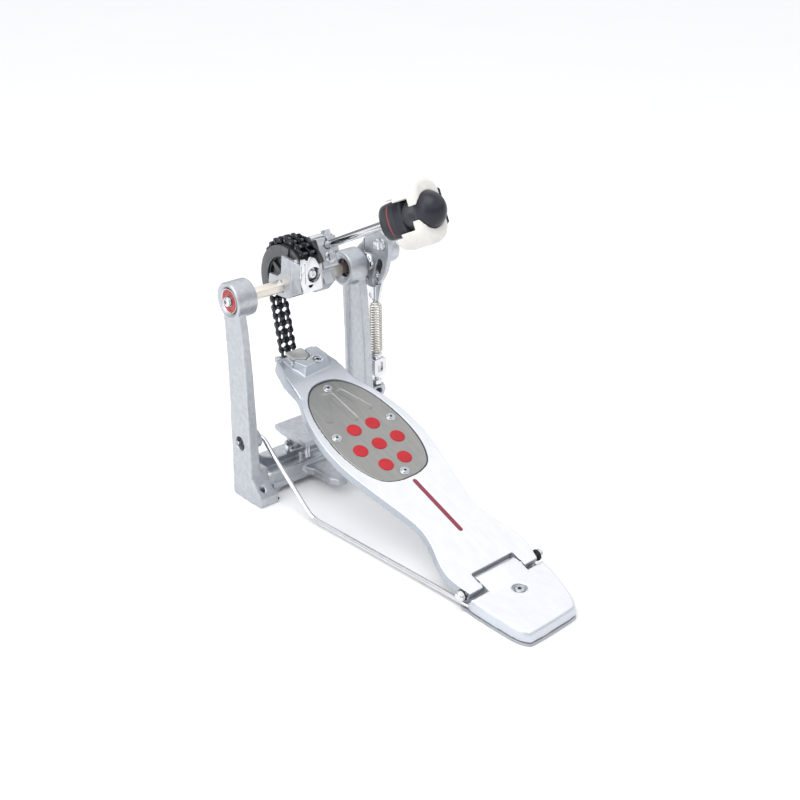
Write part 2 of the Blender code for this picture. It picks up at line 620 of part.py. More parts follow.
def make_footboard():
    """Cast board with two hinge ears, a waist and a raised toe."""
    side = [(23.5, 12.0), (38.5, 12.0), (45.0, 22.0), (39.0, 46.0), (31.0, 70.0), (36.0, 92.0),
            (43.0, 120.0), (49.0, 150.0), (50.5, 165.0), (49.0, 185.0), (43.5, 212.0),
            (31.0, 240.0), (29.0, 262.0), (24.0, 284.0)]
    board = plate("footboard", mirrored(side), -2.4, 2.2, axis="Z", **ON_BOARD)
    toe = plate("toe", [(242.0, -1.0), (284.0, -9.0), (287.0, -7.0), (287.0, 8.0), (268.0, 12.0),
                        (250.0, 9.0), (242.0, 4.0)], -26.0, 26.0, axis="X", tool=True, **ON_BOARD)
    toe_trim = plate("toe_trim", mirrored([(29.5, 230.0), (28.5, 262.0), (22.0, 287.5)]),
                     -30.0, 30.0, axis="Z", tool=True, **ON_BOARD)
    boolean(toe, [toe_trim], "INTERSECT")
    tools = [toe]
    for side_x in (-1, 1):
        low, high = sorted((side_x * 23.5, side_x * 38.5))
        tools.append(rod("ear_round", (low, 0, 0), (high, 0, 0), 5.0, tool=True, **ON_BOARD))
        tools.append(block("ear_web", (low, 1.0, -2.4), (high, 16.0, 2.2), tool=True, **ON_BOARD))
        low, high = sorted((side_x * 9.6, side_x * 13.5))
        tools.append(plate("toe_lug", [(280.0, -8.8), (297.5, -10.0), (298.5, -5.5), (294.0, -2.4),
                                       (280.0, 2.0)], low, high, axis="X", tool=True, **ON_BOARD))
    join(board, *tools)
    pin_hole = rod("board_pin_hole", (-60.0, 0, 0), (60.0, 0, 0), 2.5 + GAP, tool=True, **ON_BOARD)
    toe_hole = rod("toe_hole", (-40.0, 0, 0), (40.0, 0, 0), PIN_RADIUS + GAP, at=TOE_PIVOT, sides=10,
                   tool=True)
    cut(board, pin_hole, toe_hole)
    return paint(board, (0.80, 0.80, 0.81), 0.7, 0.35)


def make_oval():
    """Oval tread plate on the board."""
    points = [(38.0 * math.copysign(abs(math.cos(a)) ** 0.9, math.cos(a)),
               180.0 + 58.0 * math.copysign(abs(math.sin(a)) ** 0.9, math.sin(a)))
              for a in [2 * math.pi * i / 48 for i in range(48)]]
    oval = plate("oval_plate", points, 2.2 + GAP, 4.0, axis="Z", **ON_BOARD)
    return paint(oval, (0.42, 0.42, 0.40), 0.8, 0.35)


def make_plate_screw(number, x, y):
    screw = rod("plate_screw_%d" % number, (x, y, 4.0 + GAP), (x, y, 6.0), 3.9, top=3.2, sides=20,
                **ON_BOARD)
    socket = rod("screw_socket", (x, y, 5.0), (x, y, 9.0), 1.6, sides=6, tool=True, **ON_BOARD)
    cut(screw, socket)
    return bright(screw)


def make_dot(number, x, y):
    dot = rod("grip_dot_%d" % number, (x, y, 4.0 + GAP), (x, y, 5.6), 6.8, top=6.3, sides=24, **ON_BOARD)
    return paint(dot, (0.62, 0.03, 0.05), 0.0, 0.6)


def make_toe_clamp():
    """Plate that holds the toe end of the chain, with its screw beside it."""
    clamp = plate("toe_clamp", [(252.0, 12.6), (266.0, 13.4), (286.0, 9.6), (286.0, 12.0),
                                (266.0, 17.0), (252.0, 15.5)], -10.0, 10.0, axis="X", **ON_BOARD)
    bore = rod("toe_bore", (4.0, 266.0, 0.0), (4.0, 266.0, 40.0), 2.0 + GAP, tool=True, **ON_BOARD)
    cut(clamp, bore)
    return paint(clamp, (0.80, 0.77, 0.72), 0.8, 0.35)


def make_toe_screw():
    screw = rod("toe_screw", (4.0, 266.0, 17.0 + GAP), (4.0, 266.0, 20.0), 4.0, **ON_BOARD)
    shank = rod("toe_shank", (4.0, 266.0, 12.8), (4.0, 266.0, 18.0), 2.0, sides=16, tool=True, **ON_BOARD)
    join(screw, shank)
    return bright(screw)


def make_hinge_pin():
    pin = rod("hinge_pin", (-49.0, 0, 0), (49.0, 0, 0), 2.5, at=HINGE)
    soften(pin, 0.4)
    return bright(pin)


def make_heel_plate():
    """Cast heel rest with a tongue and two knuckles on the hinge pin."""
    heel = plate("heel_plate", HEEL_OUTLINE, 7.2, 15.0, axis="Z")
    tools = [rod("tongue_round", (-22.5, HINGE_Y, HINGE_Z), (22.5, HINGE_Y, HINGE_Z), 4.6, tool=True),
             block("tongue_web", (-22.5, -274.0, 9.2), (22.5, HINGE_Y, 15.0), tool=True)]
    for side_x in (-1, 1):
        low, high = sorted((side_x * 39.6, side_x * 46.4))
        tools.append(rod("knuckle", (low, HINGE_Y, HINGE_Z), (high, HINGE_Y, HINGE_Z), 4.6, tool=True))
        tools.append(block("knuckle_web", (low, -280.0, 9.0), (high, HINGE_Y - 1.0, 15.0), tool=True))
    join(heel, *tools)
    bore = rod("heel_bore", (-60.0, HINGE_Y, HINGE_Z), (60.0, HINGE_Y, HINGE_Z), 2.5 + GAP, tool=True)
    recess = rod("heel_recess", (0, -285.0, 11.0), (0, -285.0, 30.0), 6.6, tool=True)
    cut(heel, bore, recess)
    return paint(heel, (0.80, 0.80, 0.81), 0.7, 0.35)


def make_heel_screw():
    screw = rod("heel_screw", (0, -285.0, 11.0 + GAP), (0, -285.0, 14.2), 5.0)
    socket = rod("heel_socket", (0, -285.0, 12.6), (0, -285.0, 20.0), 2.2, sides=6, tool=True)
    cut(screw, socket)
    return bright(screw)


def make_heel_base():
    """Ground plate under the heel that clips the two wires."""
    base = plate("heel_base", HEEL_OUTLINE[:-1] + [(42.0, -262.0), (38.0, -256.0), (-38.0, -256.0),
                                                   (-42.0, -262.0)], 0.0, 2.0, axis="Z")
    rib = plate("heel_rib", [(-34.0, -324.0), (8.0, -324.0), (24.0, -308.0), (33.0, -288.0), (33.0, -270.0),
                             (-34.0, -270.0)], 1.0, 7.2 - GAP, axis="Z", tool=True)
    join(base, rib)
    return paint(base, (0.30, 0.30, 0.31), 0.5, 0.6)


def make_wire(side):
    """Spreader wire from the post boss to the heel base."""
    name = "right_wire" if side > 0 else "left_wire"
    points = [(69.0, -4.0, 54.0), (50.0, -4.0, 54.0), (48.5, -6.5, 52.5), (50.5, -40.0, 31.5),
              (52.5, -78.0, 8.0), (52.3, -84.0, 5.2), (51.5, -92.0, 4.6), (39.0, -270.0, 4.6),
              (37.0, -310.0, 4.6)]
    wire = tube_path(name, [(side * x, y, z) for x, y, z in points], 2.2)
    return bright(wire)


# ---------------------------------------------------------------- hoop clamp
def make_jaw():
    """Upper jaw of the hoop clamp: a lever on a pin, with a claw behind and a screw in front."""
    jaw = plate("hoop_jaw", [(-12.5, 27.2), (-1.0, 26.2), (2.0, 23.5), (6.0, 25.5), (23.0, 40.0),
                             (27.5, 29.0), (30.5, 30.0), (28.0, 40.0), (24.5, 46.5), (20.0, 46.0),
                             (4.5, 31.8), (-1.0, 31.0), (-12.5, 31.2)], -JAW_HALF, JAW_HALF, axis="X")
    screw_hole = rod("jaw_screw_hole", (0, CLAMP_SCREW_Y, 20.0), (0, CLAMP_SCREW_Y, 40.0), 2.9 + GAP,
                     sides=20, tool=True)
    bore = rod("jaw_bore", (-40.0, *JAW_PIVOT), (40.0, *JAW_PIVOT), 1.8 + GAP, sides=16, tool=True)
    cut(jaw, screw_hole, bore)
    return cast(jaw)


def make_jaw_pin():
    pin = rod("jaw_pin", (-17.0, *JAW_PIVOT), (17.0, *JAW_PIVOT), 1.8, sides=16)
    return bright(pin)


def make_clamp_screw():
    """Square-headed jack screw that runs through the front of the jaw and closes it."""
    screw = rod("hoop_screw", (0, CLAMP_SCREW_Y, CLAMP_SCREW_TIP), (0, CLAMP_SCREW_Y, 35.0), 2.9, sides=20)
    collar = rod("screw_collar", (0, CLAMP_SCREW_Y, 31.0 + 2 * GAP), (0, CLAMP_SCREW_Y, 34.0), 4.6,
                 sides=20, tool=True)
    head = rod("screw_head", (0, CLAMP_SCREW_Y, 33.0), (0, CLAMP_SCREW_Y, 39.5), 3.8, sides=4, spin=45,
               tool=True)
    join(screw, collar, head)
    return bright(screw)


def build():
    make_base()
    for side in (-1, 1):
        make_post(side)
        make_bearing(side)
        make_foot_rubber(side)
        make_wire(side)
        make_felt(side)
    make_axle()
    make_axle_bolt()
    make_axle_nut()
    make_cam()
    make_cam_hub()
    make_chain_on_cam()
    for number in range(1, 5):
        make_lifting_link(number)
    make_chain_straight()
    make_chain_clamp()
    make_chain_bolt()
    make_holder()
    make_holder_key(1)
    make_holder_key(2)
    make_shaft()
    make_core()
    make_rocker()
    make_rocker_bolt()
    make_hook()
    make_spring()
    make_adjuster()
    make_anchor()
    make_adjuster_nut("adjuster_nut", 68.0 + GAP, 73.0, 5.5, 6)
    make_footboard()
    make_oval()
    for number, (x, y) in enumerate([(0, 233.0), (30.5, 183.0), (-30.5, 183.0), (0, 127.0)], start=1):
        make_plate_screw(number, x, y)
    for number, (x, y) in enumerate(DOT_SPOTS, start=1):
        make_dot(number, x, y)
    make_toe_clamp()
    make_toe_screw()
    make_hinge_pin()
    make_heel_plate()
    make_heel_screw()
    make_heel_base()
    make_jaw()
    make_jaw_pin()
    make_clamp_screw()


build()
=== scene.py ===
"""Looks of the bass drum pedal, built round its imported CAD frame. Lengths are in millimetres."""
import math

import bmesh
import bpy
from mathutils import Matrix, Vector


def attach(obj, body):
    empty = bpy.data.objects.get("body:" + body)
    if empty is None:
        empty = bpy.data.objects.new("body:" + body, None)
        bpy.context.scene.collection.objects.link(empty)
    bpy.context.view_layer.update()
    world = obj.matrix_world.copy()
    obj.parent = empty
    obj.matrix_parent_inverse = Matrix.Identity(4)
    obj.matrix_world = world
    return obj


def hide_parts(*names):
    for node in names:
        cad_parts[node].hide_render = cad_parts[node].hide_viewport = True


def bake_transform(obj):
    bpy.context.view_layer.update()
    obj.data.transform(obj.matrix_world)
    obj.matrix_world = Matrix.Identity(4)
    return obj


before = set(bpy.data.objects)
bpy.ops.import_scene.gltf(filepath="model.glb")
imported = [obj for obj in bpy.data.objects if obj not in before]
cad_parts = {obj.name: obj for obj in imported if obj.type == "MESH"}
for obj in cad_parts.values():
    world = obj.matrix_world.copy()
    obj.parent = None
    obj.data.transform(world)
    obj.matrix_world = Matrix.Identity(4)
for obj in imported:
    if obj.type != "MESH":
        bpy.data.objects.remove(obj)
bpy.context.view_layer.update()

MM = 0.001
AXLE_HEIGHT = 190.0
HINGE = (0.0, -261.9, 13.4)
BOARD_ANGLE = 20.94
BEATER_ANGLE = 64.6
CAM_RADIUS = 32.4
CAM_RISE = 7.5
CHAIN_PITCH = 8.0
CHAIN_LINKS = 10
CHAIN_TILT = math.radians(11.76)
SPRING_AXIS = (84.0, -10.0)
SPRING_BOTTOM = 101.0
SPRING_TOP = 151.0
HOOK_PIN = (-17.0, -9.0)
WIRE_BORE = (-4.5, 55)
SHAFT = (27, 23)
CLAMP_BOLT = (0.5, -20.0, 14.0)
CLAMP_BOLT_END = (0.5, -40, 14.0)
ROCKER_BOSS = (-24.5, 19.5)
PINCH_BOLT = (-8.6, 3.8)
HEEL_SCREW = (0, -283.5)
JAW_PIVOT = (2, 27.5)
JAW_SCREW = (0, -7)


def placed(at=(0.0, 0.0, 0.0), turn=0.0):
    """Placement of a local frame: moved to `at`, turned about X by `turn` degrees."""
    return Matrix.Translation(Vector(at)) @ Matrix.Rotation(math.radians(turn), 4, "X")


WORLD = placed()
AXLE = placed((0.0, 0.0, AXLE_HEIGHT))
BOARD = placed(HINGE, BOARD_ANGLE)
BEATER = placed((0.0, 0.0, AXLE_HEIGHT), BEATER_ANGLE)


# ---------------------------------------------------------------- outlines
def arc(centre, radius, start, stop, steps):
    """Points on a circle from `start` to `stop` degrees."""
    angles = [math.radians(start + (stop - start) * i / steps) for i in range(steps + 1)]
    return [(centre[0] + radius * math.cos(a), centre[1] + radius * math.sin(a)) for a in angles]


def capsule(a, b, radius, steps=8):
    """A strip with round ends between two points."""
    heading = math.degrees(math.atan2(b[1] - a[1], b[0] - a[0]))
    return (arc(b, radius, heading - 90, heading + 90, steps)
            + arc(a, radius, heading + 90, heading + 270, steps))


def smooth_line(points, steps=6, closed=False):
    """A Catmull-Rom curve through points of any size."""
    points = [Vector(p) for p in points]
    count = len(points)
    spans = count if closed else count - 1
    line = []
    for i in range(spans):
        if closed:
            a, b, c, d = (points[(i + k) % count] for k in (-1, 0, 1, 2))
        else:
            a, b, c, d = (points[min(max(i + k, 0), count - 1)] for k in (-1, 0, 1, 2))
        for k in range(steps):
            t = k / steps
            line.append(0.5 * ((2 * b) + (c - a) * t + (2 * a - 5 * b + 4 * c - d) * t * t
                               + (3 * b - a - 3 * c + d) * t ** 3))
    if not closed:
        line.append(points[-1])
    return [tuple(p) for p in line]


def grown(outline, amount):
    """An outline moved outwards by `amount`; it runs anticlockwise."""
    moved = []
    for i, here in enumerate(outline):
        before, after = Vector(outline[i - 1]), Vector(outline[(i + 1) % len(outline)])
        along = (after - before).normalized()
        moved.append((here[0] + along.y * amount, here[1] - along.x * amount))
    return moved


# ---------------------------------------------------------------- raw shapes
def raw(shape):
    """Turns a bmesh in millimetres into a work object in metres."""
    bmesh.ops.recalc_face_normals(shape, faces=shape.faces)
    bmesh.ops.scale(shape, vec=(MM, MM, MM), verts=shape.verts)
    mesh = bpy.data.meshes.new("raw")
    shape.to_mesh(mesh)
    shape.free()
    made = bpy.data.objects.new("raw", mesh)
    bpy.context.scene.collection.objects.link(made)
    return made


def loft(rings, closed=False):
    """A skin over rings of equally many points; open lofts get flat ends."""
    shape = bmesh.new()
    loops = [[shape.verts.new(p) for p in ring] for ring in rings]
    pairs = list(zip(loops, loops[1:])) + ([(loops[-1], loops[0])] if closed else [])
    for low, high in pairs:
        for i in range(len(low)):
            k = (i + 1) % len(low)
            shape.faces.new((low[i], low[k], high[k], high[i]))
    if not closed:
        shape.faces.new(loops[0][::-1])
        shape.faces.new(loops[-1])
    return raw(shape)


def stand(axis, u, v, w):
    """The point of an outline (u, v) at `w` along an axis."""
    return {"X": (w, u, v), "Y": (u, w, v), "Z": (u, v, w)}[axis]


def prism(outline, low, high, axis="Z"):
    """A flat outline pushed from `low` to `high` along an axis."""
    return loft([[stand(axis, u, v, w) for u, v in outline] for w in (low, high)])


def xprism(outline, low, high):
    """A (y, z) outline pushed along X."""
    return prism(outline, low, high, axis="X")


def box(low, high):
    return prism([(low[0], low[1]), (high[0], low[1]), (high[0], high[1]), (low[0], high[1])],
                 low[2], high[2])


def turned(profile, start, end, sides=48):
    """A turned shape: (distance along, radius) pairs on the line from `start` to `end`."""
    start, along = Vector(start), (Vector(end) - Vector(start)).normalized()
    side = along.orthogonal().normalized()
    other = along.cross(side)
    rings = []
    for reach, radius in profile:
        rings.append([start + along * reach + (side * math.cos(a) + other * math.sin(a)) * radius
                      for a in [2 * math.pi * i / sides for i in range(sides)]])
    return loft(rings)


def washer(profile, start, end, sides=48):
    """A turned ring: like `turned`, but its profile closes on itself and leaves a hole."""
    start, along = Vector(start), (Vector(end) - Vector(start)).normalized()
    side = along.orthogonal().normalized()
    other = along.cross(side)
    rings = []
    for i in range(sides):
        a = 2 * math.pi * i / sides
        rings.append([start + along * reach + (side * math.cos(a) + other * math.sin(a)) * radius
                      for reach, radius in profile])
    return loft(rings, closed=True)


def rod(start, end, radius, sides=48, bevel=0.0):
    length = (Vector(end) - Vector(start)).length
    if not bevel:
        return turned([(0, radius), (length, radius)], start, end, sides)
    return turned([(0, radius - bevel), (bevel, radius), (length - bevel, radius),
                   (length, radius - bevel)], start, end, sides)


def ball(centre, radius, sides=40):
    steps = sides // 2
    profile = [(radius - radius * math.cos(a), radius * math.sin(a))
               for a in [math.pi * (i + 0.02) / (steps + 0.04) for i in range(steps + 1)]]
    centre = Vector(centre)
    return turned(profile, centre - Vector((0, 0, radius)), centre, sides)


def tube(points, radius, sides=12):
    """A round bar along a line of points, with flat ends."""
    points = [Vector(p) for p in points]
    rings, side = [], None
    for i, here in enumerate(points):
        along = (points[min(i + 1, len(points) - 1)] - points[max(i - 1, 0)]).normalized()
        side = along.orthogonal() if side is None else side - along * side.dot(along)
        side.normalize()
        other = along.cross(side)
        rings.append([here + (side * math.cos(a) + other * math.sin(a)) * radius
                      for a in [2 * math.pi * k / sides for k in range(sides)]])
    return loft(rings)


# ---------------------------------------------------------------- making pieces
def shape_of(work, voxel=0.0, relax=0, bevel=0.0):
    """Applies a work object's modifiers, with optional remesh, smoothing and edge bevel."""
    if voxel:
        step = work.modifiers.new("remesh", "REMESH")
        step.mode = "VOXEL"
        step.voxel_size = voxel * MM
    if relax:
        step = work.modifiers.new("relax", "SMOOTH")
        step.factor = 0.5
        step.iterations = relax
    if bevel:
        step = work.modifiers.new("bevel", "BEVEL")
        step.width = bevel * MM
        step.segments = 2
        step.limit_method = "ANGLE"
        step.angle_limit = math.radians(35.0)
    bpy.context.view_layer.update()
    seen = work.evaluated_get(bpy.context.evaluated_depsgraph_get())
    return bpy.data.meshes.new_from_object(seen)


def combined(adds, cuts=(), **finish):
    """One mesh from solids that are joined and then cut."""
    body = adds[0]
    for tool, kind in [(t, "UNION") for t in adds[1:]] + [(t, "DIFFERENCE") for t in cuts]:
        step = body.modifiers.new(kind, "BOOLEAN")
        step.operation = kind
        step.solver = "EXACT"
        step.object = tool
    mesh = shape_of(body, **finish)
    for work in (*adds, *cuts):
        bpy.data.objects.remove(work, do_unlink=True)
    return mesh


def loose(*shapes):
    """One mesh from several shapes that stay as separate shells."""
    shape = bmesh.new()
    for work in shapes:
        shape.from_mesh(work.data)
        bpy.data.objects.remove(work, do_unlink=True)
    mesh = bpy.data.meshes.new("loose")
    shape.to_mesh(mesh)
    shape.free()
    return mesh


def piece(name, mesh, body, material, place=WORLD, replaces=(), smooth=30.0):
    """Places a mesh, gives it its material and body, and hides the nodes it stands for."""
    shift = place.copy()
    shift.translation = shift.translation * MM
    mesh.transform(shift)
    mesh.name = name
    mesh.shade_smooth()
    mesh.set_sharp_from_angle(angle=math.radians(smooth))
    mesh.materials.clear()
    mesh.materials.append(material)
    made = bpy.data.objects.new(name + "_skin", mesh)
    bpy.context.scene.collection.objects.link(made)
    if body:
        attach(made, body)
    if replaces:
        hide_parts(*replaces)
    return made


def stand_in(name, *args, **keywords):
    """A piece that stands for the CAD node of its own name."""
    return piece(name, *args, replaces=(name,), **keywords)


def socket_screw(name, at, along, radius, height, body, place=WORLD, replaces=()):
    """Round screw head with a chamfer and a hexagon socket, with a dark disc of painted shade at the socket's
    bottom.
    """
    at, along = Vector(at), Vector(along).normalized()
    head = turned([(0, radius), (height * 0.5, radius), (height * 0.8, radius * 0.9),
                   (height, radius * 0.68)], at, at + along, 40)
    hexagon = turned([(height * 0.35, radius * 0.42), (height * 1.5, radius * 0.42)], at, at + along, 6)
    # Painted shade: a dark disc at the bottom of the socket.
    floor = turned([(height * 0.25, radius * 0.5), (height * 0.4, radius * 0.5)], at, at + along, 24)
    piece(name, combined([head], [hexagon]), body, SATIN, place, replaces=replaces)
    piece(name + "_socket", loose(floor), body, HOLE_SHADE, place)


def surface(name, light, dark, metallic, rough, spots=90.0, grain=900.0, bump=0.15,
            stretch=(1.0, 1.0, 1.0), worn=0.0, sides=None, facing="Z", toe=None, **fixed):
    """Mottled colour, uneven gloss, fine grain; paler convex edges as a painted highlight, painted shade on
    faces turned away from the facing axis, and a colour fading to the toe colour towards the toe end.
    """
    material = bpy.data.materials.new(name)
    material.use_nodes = True
    nodes, links = material.node_tree.nodes, material.node_tree.links
    shader = nodes["Principled BSDF"]
    shader.inputs["Metallic"].default_value = metallic
    for socket, value in fixed.items():
        shader.inputs[socket.replace("_", " ")].default_value = value
    place = nodes.new("ShaderNodeTexCoord")
    mapping = nodes.new("ShaderNodeMapping")
    mapping.inputs["Scale"].default_value = stretch
    links.new(place.outputs["Object"], mapping.inputs["Vector"])
    mottle = nodes.new("ShaderNodeTexNoise")
    mottle.inputs["Scale"].default_value = spots
    mottle.inputs["Detail"].default_value = 5.0
    mottle.inputs["Roughness"].default_value = 0.6
    fine = nodes.new("ShaderNodeTexNoise")
    fine.inputs["Scale"].default_value = grain
    fine.inputs["Detail"].default_value = 3.0
    for noise in (mottle, fine):
        links.new(mapping.outputs["Vector"], noise.inputs["Vector"])
    ramp = nodes.new("ShaderNodeValToRGB")
    ramp.color_ramp.elements[0].position = 0.32
    ramp.color_ramp.elements[1].position = 0.68
    ramp.color_ramp.elements[0].color = (*dark, 1.0)
    ramp.color_ramp.elements[1].color = (*light, 1.0)
    links.new(mottle.outputs["Fac"], ramp.inputs["Fac"])
    colour = ramp.outputs["Color"]
    # Colour fades to the toe colour as the object's Y runs from -0.15 m to 0: darker towards the toe end.
    if toe:
        where = nodes.new("ShaderNodeSeparateXYZ")
        links.new(place.outputs["Object"], where.inputs["Vector"])
        colour = blended(nodes, links, where.outputs["Y"], (-0.15, 0.0), colour, toe)
    # Painted shade: faces whose normal turns away from the facing axis take the darker sides colour, standing
    # in for the shade on them.
    if sides:
        normal, size = nodes.new("ShaderNodeSeparateXYZ"), nodes.new("ShaderNodeMath")
        size.operation = "ABSOLUTE"
        links.new(place.outputs["Normal"], normal.inputs["Vector"])
        links.new(normal.outputs[facing], size.inputs[0])
        colour = blended(nodes, links, size.outputs["Value"], (0.93, 0.55), colour, sides)
    # Painted highlight: convex edges, where pointiness is high, turn paler; the argument sets how far.
    if worn:
        shape = nodes.new("ShaderNodeNewGeometry")
        pale = [min(1.0, c * 1.35) for c in light]
        colour = blended(nodes, links, shape.outputs["Pointiness"], (0.52, 0.62), colour, pale, worn)
    links.new(colour, shader.inputs["Base Color"])
    gloss = nodes.new("ShaderNodeMapRange")
    gloss.inputs["To Min"].default_value = rough[0]
    gloss.inputs["To Max"].default_value = rough[1]
    links.new(fine.outputs["Fac"], gloss.inputs["Value"])
    links.new(gloss.outputs["Result"], shader.inputs["Roughness"])
    relief = nodes.new("ShaderNodeBump")
    relief.inputs["Strength"].default_value = bump
    relief.inputs["Distance"].default_value = 0.0004
    links.new(fine.outputs["Fac"], relief.inputs["Height"])
    links.new(relief.outputs["Normal"], shader.inputs["Normal"])
    return material


def blended(nodes, links, value, span, colour, other, most=1.0):
    """Fades from one colour to `other`, up to the share `most`, as a value crosses `span`."""
    fade = nodes.new("ShaderNodeMapRange")
    fade.inputs["From Min"].default_value, fade.inputs["From Max"].default_value = span
    fade.inputs["To Max"].default_value = most
    mix = nodes.new("ShaderNodeMix")
    mix.data_type = "RGBA"
    mix.inputs["B"].default_value = (*other, 1.0)
    links.new(value, fade.inputs["Value"])
    links.new(fade.outputs["Result"], mix.inputs["Factor"])
    links.new(colour, mix.inputs["A"])
    return mix.outputs["Result"]


# Painted highlight: the edge argument of these materials makes convex edges paler.
CAST = surface("cast_alloy", (0.56, 0.58, 0.61), (0.46, 0.48, 0.51), 0.9, (0.30, 0.48), spots=240.0,
               bump=0.25, worn=0.6)
BRIGHT_CAST = dict(light=(0.86, 0.87, 0.89), dark=(0.80, 0.81, 0.84), metallic=0.75, rough=(0.30, 0.42),
                   spots=60.0, grain=700.0, bump=0.10, stretch=(3.0, 1.0, 1.0), worn=0.3)
# Painted shade: on the board and the heel, faces that face neither up nor down take the darker sides colour.
WHITE_ALLOY = surface("board_alloy", sides=(0.46, 0.49, 0.54), toe=(0.56, 0.59, 0.64), **BRIGHT_CAST)
HEEL_ALLOY = surface("heel_alloy", sides=(0.62, 0.65, 0.70), **BRIGHT_CAST)
TREAD = surface("tread_plate", (0.36, 0.36, 0.345), (0.31, 0.31, 0.30), 0.85, (0.30, 0.40), spots=40.0,
                grain=800.0, bump=0.06, stretch=(8.0, 1.0, 1.0))
# Painted shade: a near-black ring standing for the shade in the gap round the tread plate.
TREAD_GAP_SHADE = surface("painted_gap_shade", (0.05, 0.05, 0.065), (0.03, 0.03, 0.04), 0.4, (0.4, 0.6))
PALE_GOLD = surface("pale_gold_alloy", (0.56, 0.56, 0.55), (0.50, 0.50, 0.49), 0.85, (0.32, 0.45), bump=0.2)
AXLE_STEEL = surface("axle_steel", (0.80, 0.75, 0.68), (0.72, 0.67, 0.60), 0.9, (0.30, 0.42),
                     grain=600.0, bump=0.08, stretch=(0.2, 2.0, 2.0))
CHROME = surface("chrome", (0.78, 0.79, 0.81), (0.70, 0.71, 0.73), 1.0, (0.06, 0.14), bump=0.03)
SATIN = surface("satin_steel", (0.60, 0.62, 0.65), (0.48, 0.50, 0.53), 1.0, (0.16, 0.28), bump=0.05)
RED_SEAL = surface("bearing_seal", (0.50, 0.075, 0.075), (0.40, 0.055, 0.055), 0.1, (0.35, 0.5))
RED_DOT = surface("red_dot", (0.50, 0.022, 0.032), (0.44, 0.016, 0.024), 0.0, (0.45, 0.6), bump=0.1,
                  Specular_IOR_Level=0.3)
RED_LINE = surface("red_line", (0.27, 0.03, 0.065), (0.22, 0.025, 0.052), 0.0, (0.45, 0.6), bump=0.1)
# Painted shade: the cam's faces turned away from X, its pocket walls and rims, take a near-black sides
# colour.
CAM_BLACK = surface("cam_plastic", (0.125, 0.13, 0.135), (0.09, 0.09, 0.095), 0.2, (0.4, 0.55), worn=0.2,
                    sides=(0.02, 0.02, 0.024), facing="X")
CHAIN_BLACK = surface("black_chain", (0.025, 0.025, 0.035), (0.010, 0.010, 0.016), 0.7, (0.18, 0.32),
                      spots=300.0, worn=0.5)
CHAIN_PIN = surface("chain_rollers", (0.16, 0.16, 0.18), (0.05, 0.05, 0.06), 0.9, (0.12, 0.25), spots=300.0)
CORE = surface("beater_plastic", (0.019, 0.022, 0.031), (0.016, 0.019, 0.027), 0.0, (0.26, 0.32),
               bump=0.03, Specular_IOR_Level=0.35)
CORE_RED = surface("beater_line", (0.32, 0.045, 0.032), (0.25, 0.035, 0.027), 0.0, (0.45, 0.6))
FELT = surface("white_felt", (0.80, 0.78, 0.74), (0.72, 0.70, 0.65), 0.0, (0.88, 0.98), spots=160.0,
               grain=1600.0, bump=0.7, Sheen_Weight=0.3, Sheen_Roughness=0.5)
SPRING_STEEL = surface("spring_wire", (0.72, 0.69, 0.62), (0.56, 0.53, 0.48), 1.0, (0.16, 0.26))
RUBBER = surface("black_rubber", (0.03, 0.03, 0.03), (0.015, 0.015, 0.015), 0.0, (0.75, 0.9), bump=0.4)
GROUND_PLATE = surface("heel_base_steel", (0.50, 0.51, 0.53), (0.40, 0.41, 0.43), 0.8, (0.35, 0.5))
# Painted shade: dark discs and sheets put in sockets, bores, pockets and slots where shade falls.
HOLE_SHADE = surface("painted_hole_shade", (0.05, 0.05, 0.06), (0.025, 0.025, 0.03), 0.5, (0.5, 0.7))


# ---------------------------------------------------------------- camera, light, floor
def make_camera():
    azimuth, elevation, roll = (math.radians(a) for a in (-41.14, 26.19, -0.2))
    back = Vector((math.sin(azimuth) * math.cos(elevation), -math.cos(azimuth) * math.cos(elevation),
                   math.sin(elevation)))
    level = Vector((math.cos(azimuth), math.sin(azimuth), 0.0))
    rise = back.cross(level)
    right = level * math.cos(roll) + rise * math.sin(roll)
    up = rise * math.cos(roll) - level * math.sin(roll)
    eye = (right * 92.15 + up * 65.79 + back * 1136.69) * MM
    data = bpy.data.cameras.new("camera")
    data.lens = 53.47
    data.sensor_width = 36.0
    data.clip_start = 0.05
    camera = bpy.data.objects.new("camera", data)
    camera.matrix_world = Matrix((right, up, back)).transposed().to_4x4()
    camera.location = eye
    bpy.context.scene.collection.objects.link(camera)
    bpy.context.scene.camera = camera


def make_light(name, at, size, power, target=(0.0, -0.1, 0.1)):
    data = bpy.data.lights.new(name, "AREA")
    data.shape = "RECTANGLE"
    data.size, data.size_y = size
    data.energy = power
    lamp = bpy.data.objects.new(name, data)
    lamp.location = at
    lamp.rotation_euler = (Vector(at) - Vector(target)).to_track_quat("Z", "Y").to_euler()
    bpy.context.scene.collection.objects.link(lamp)


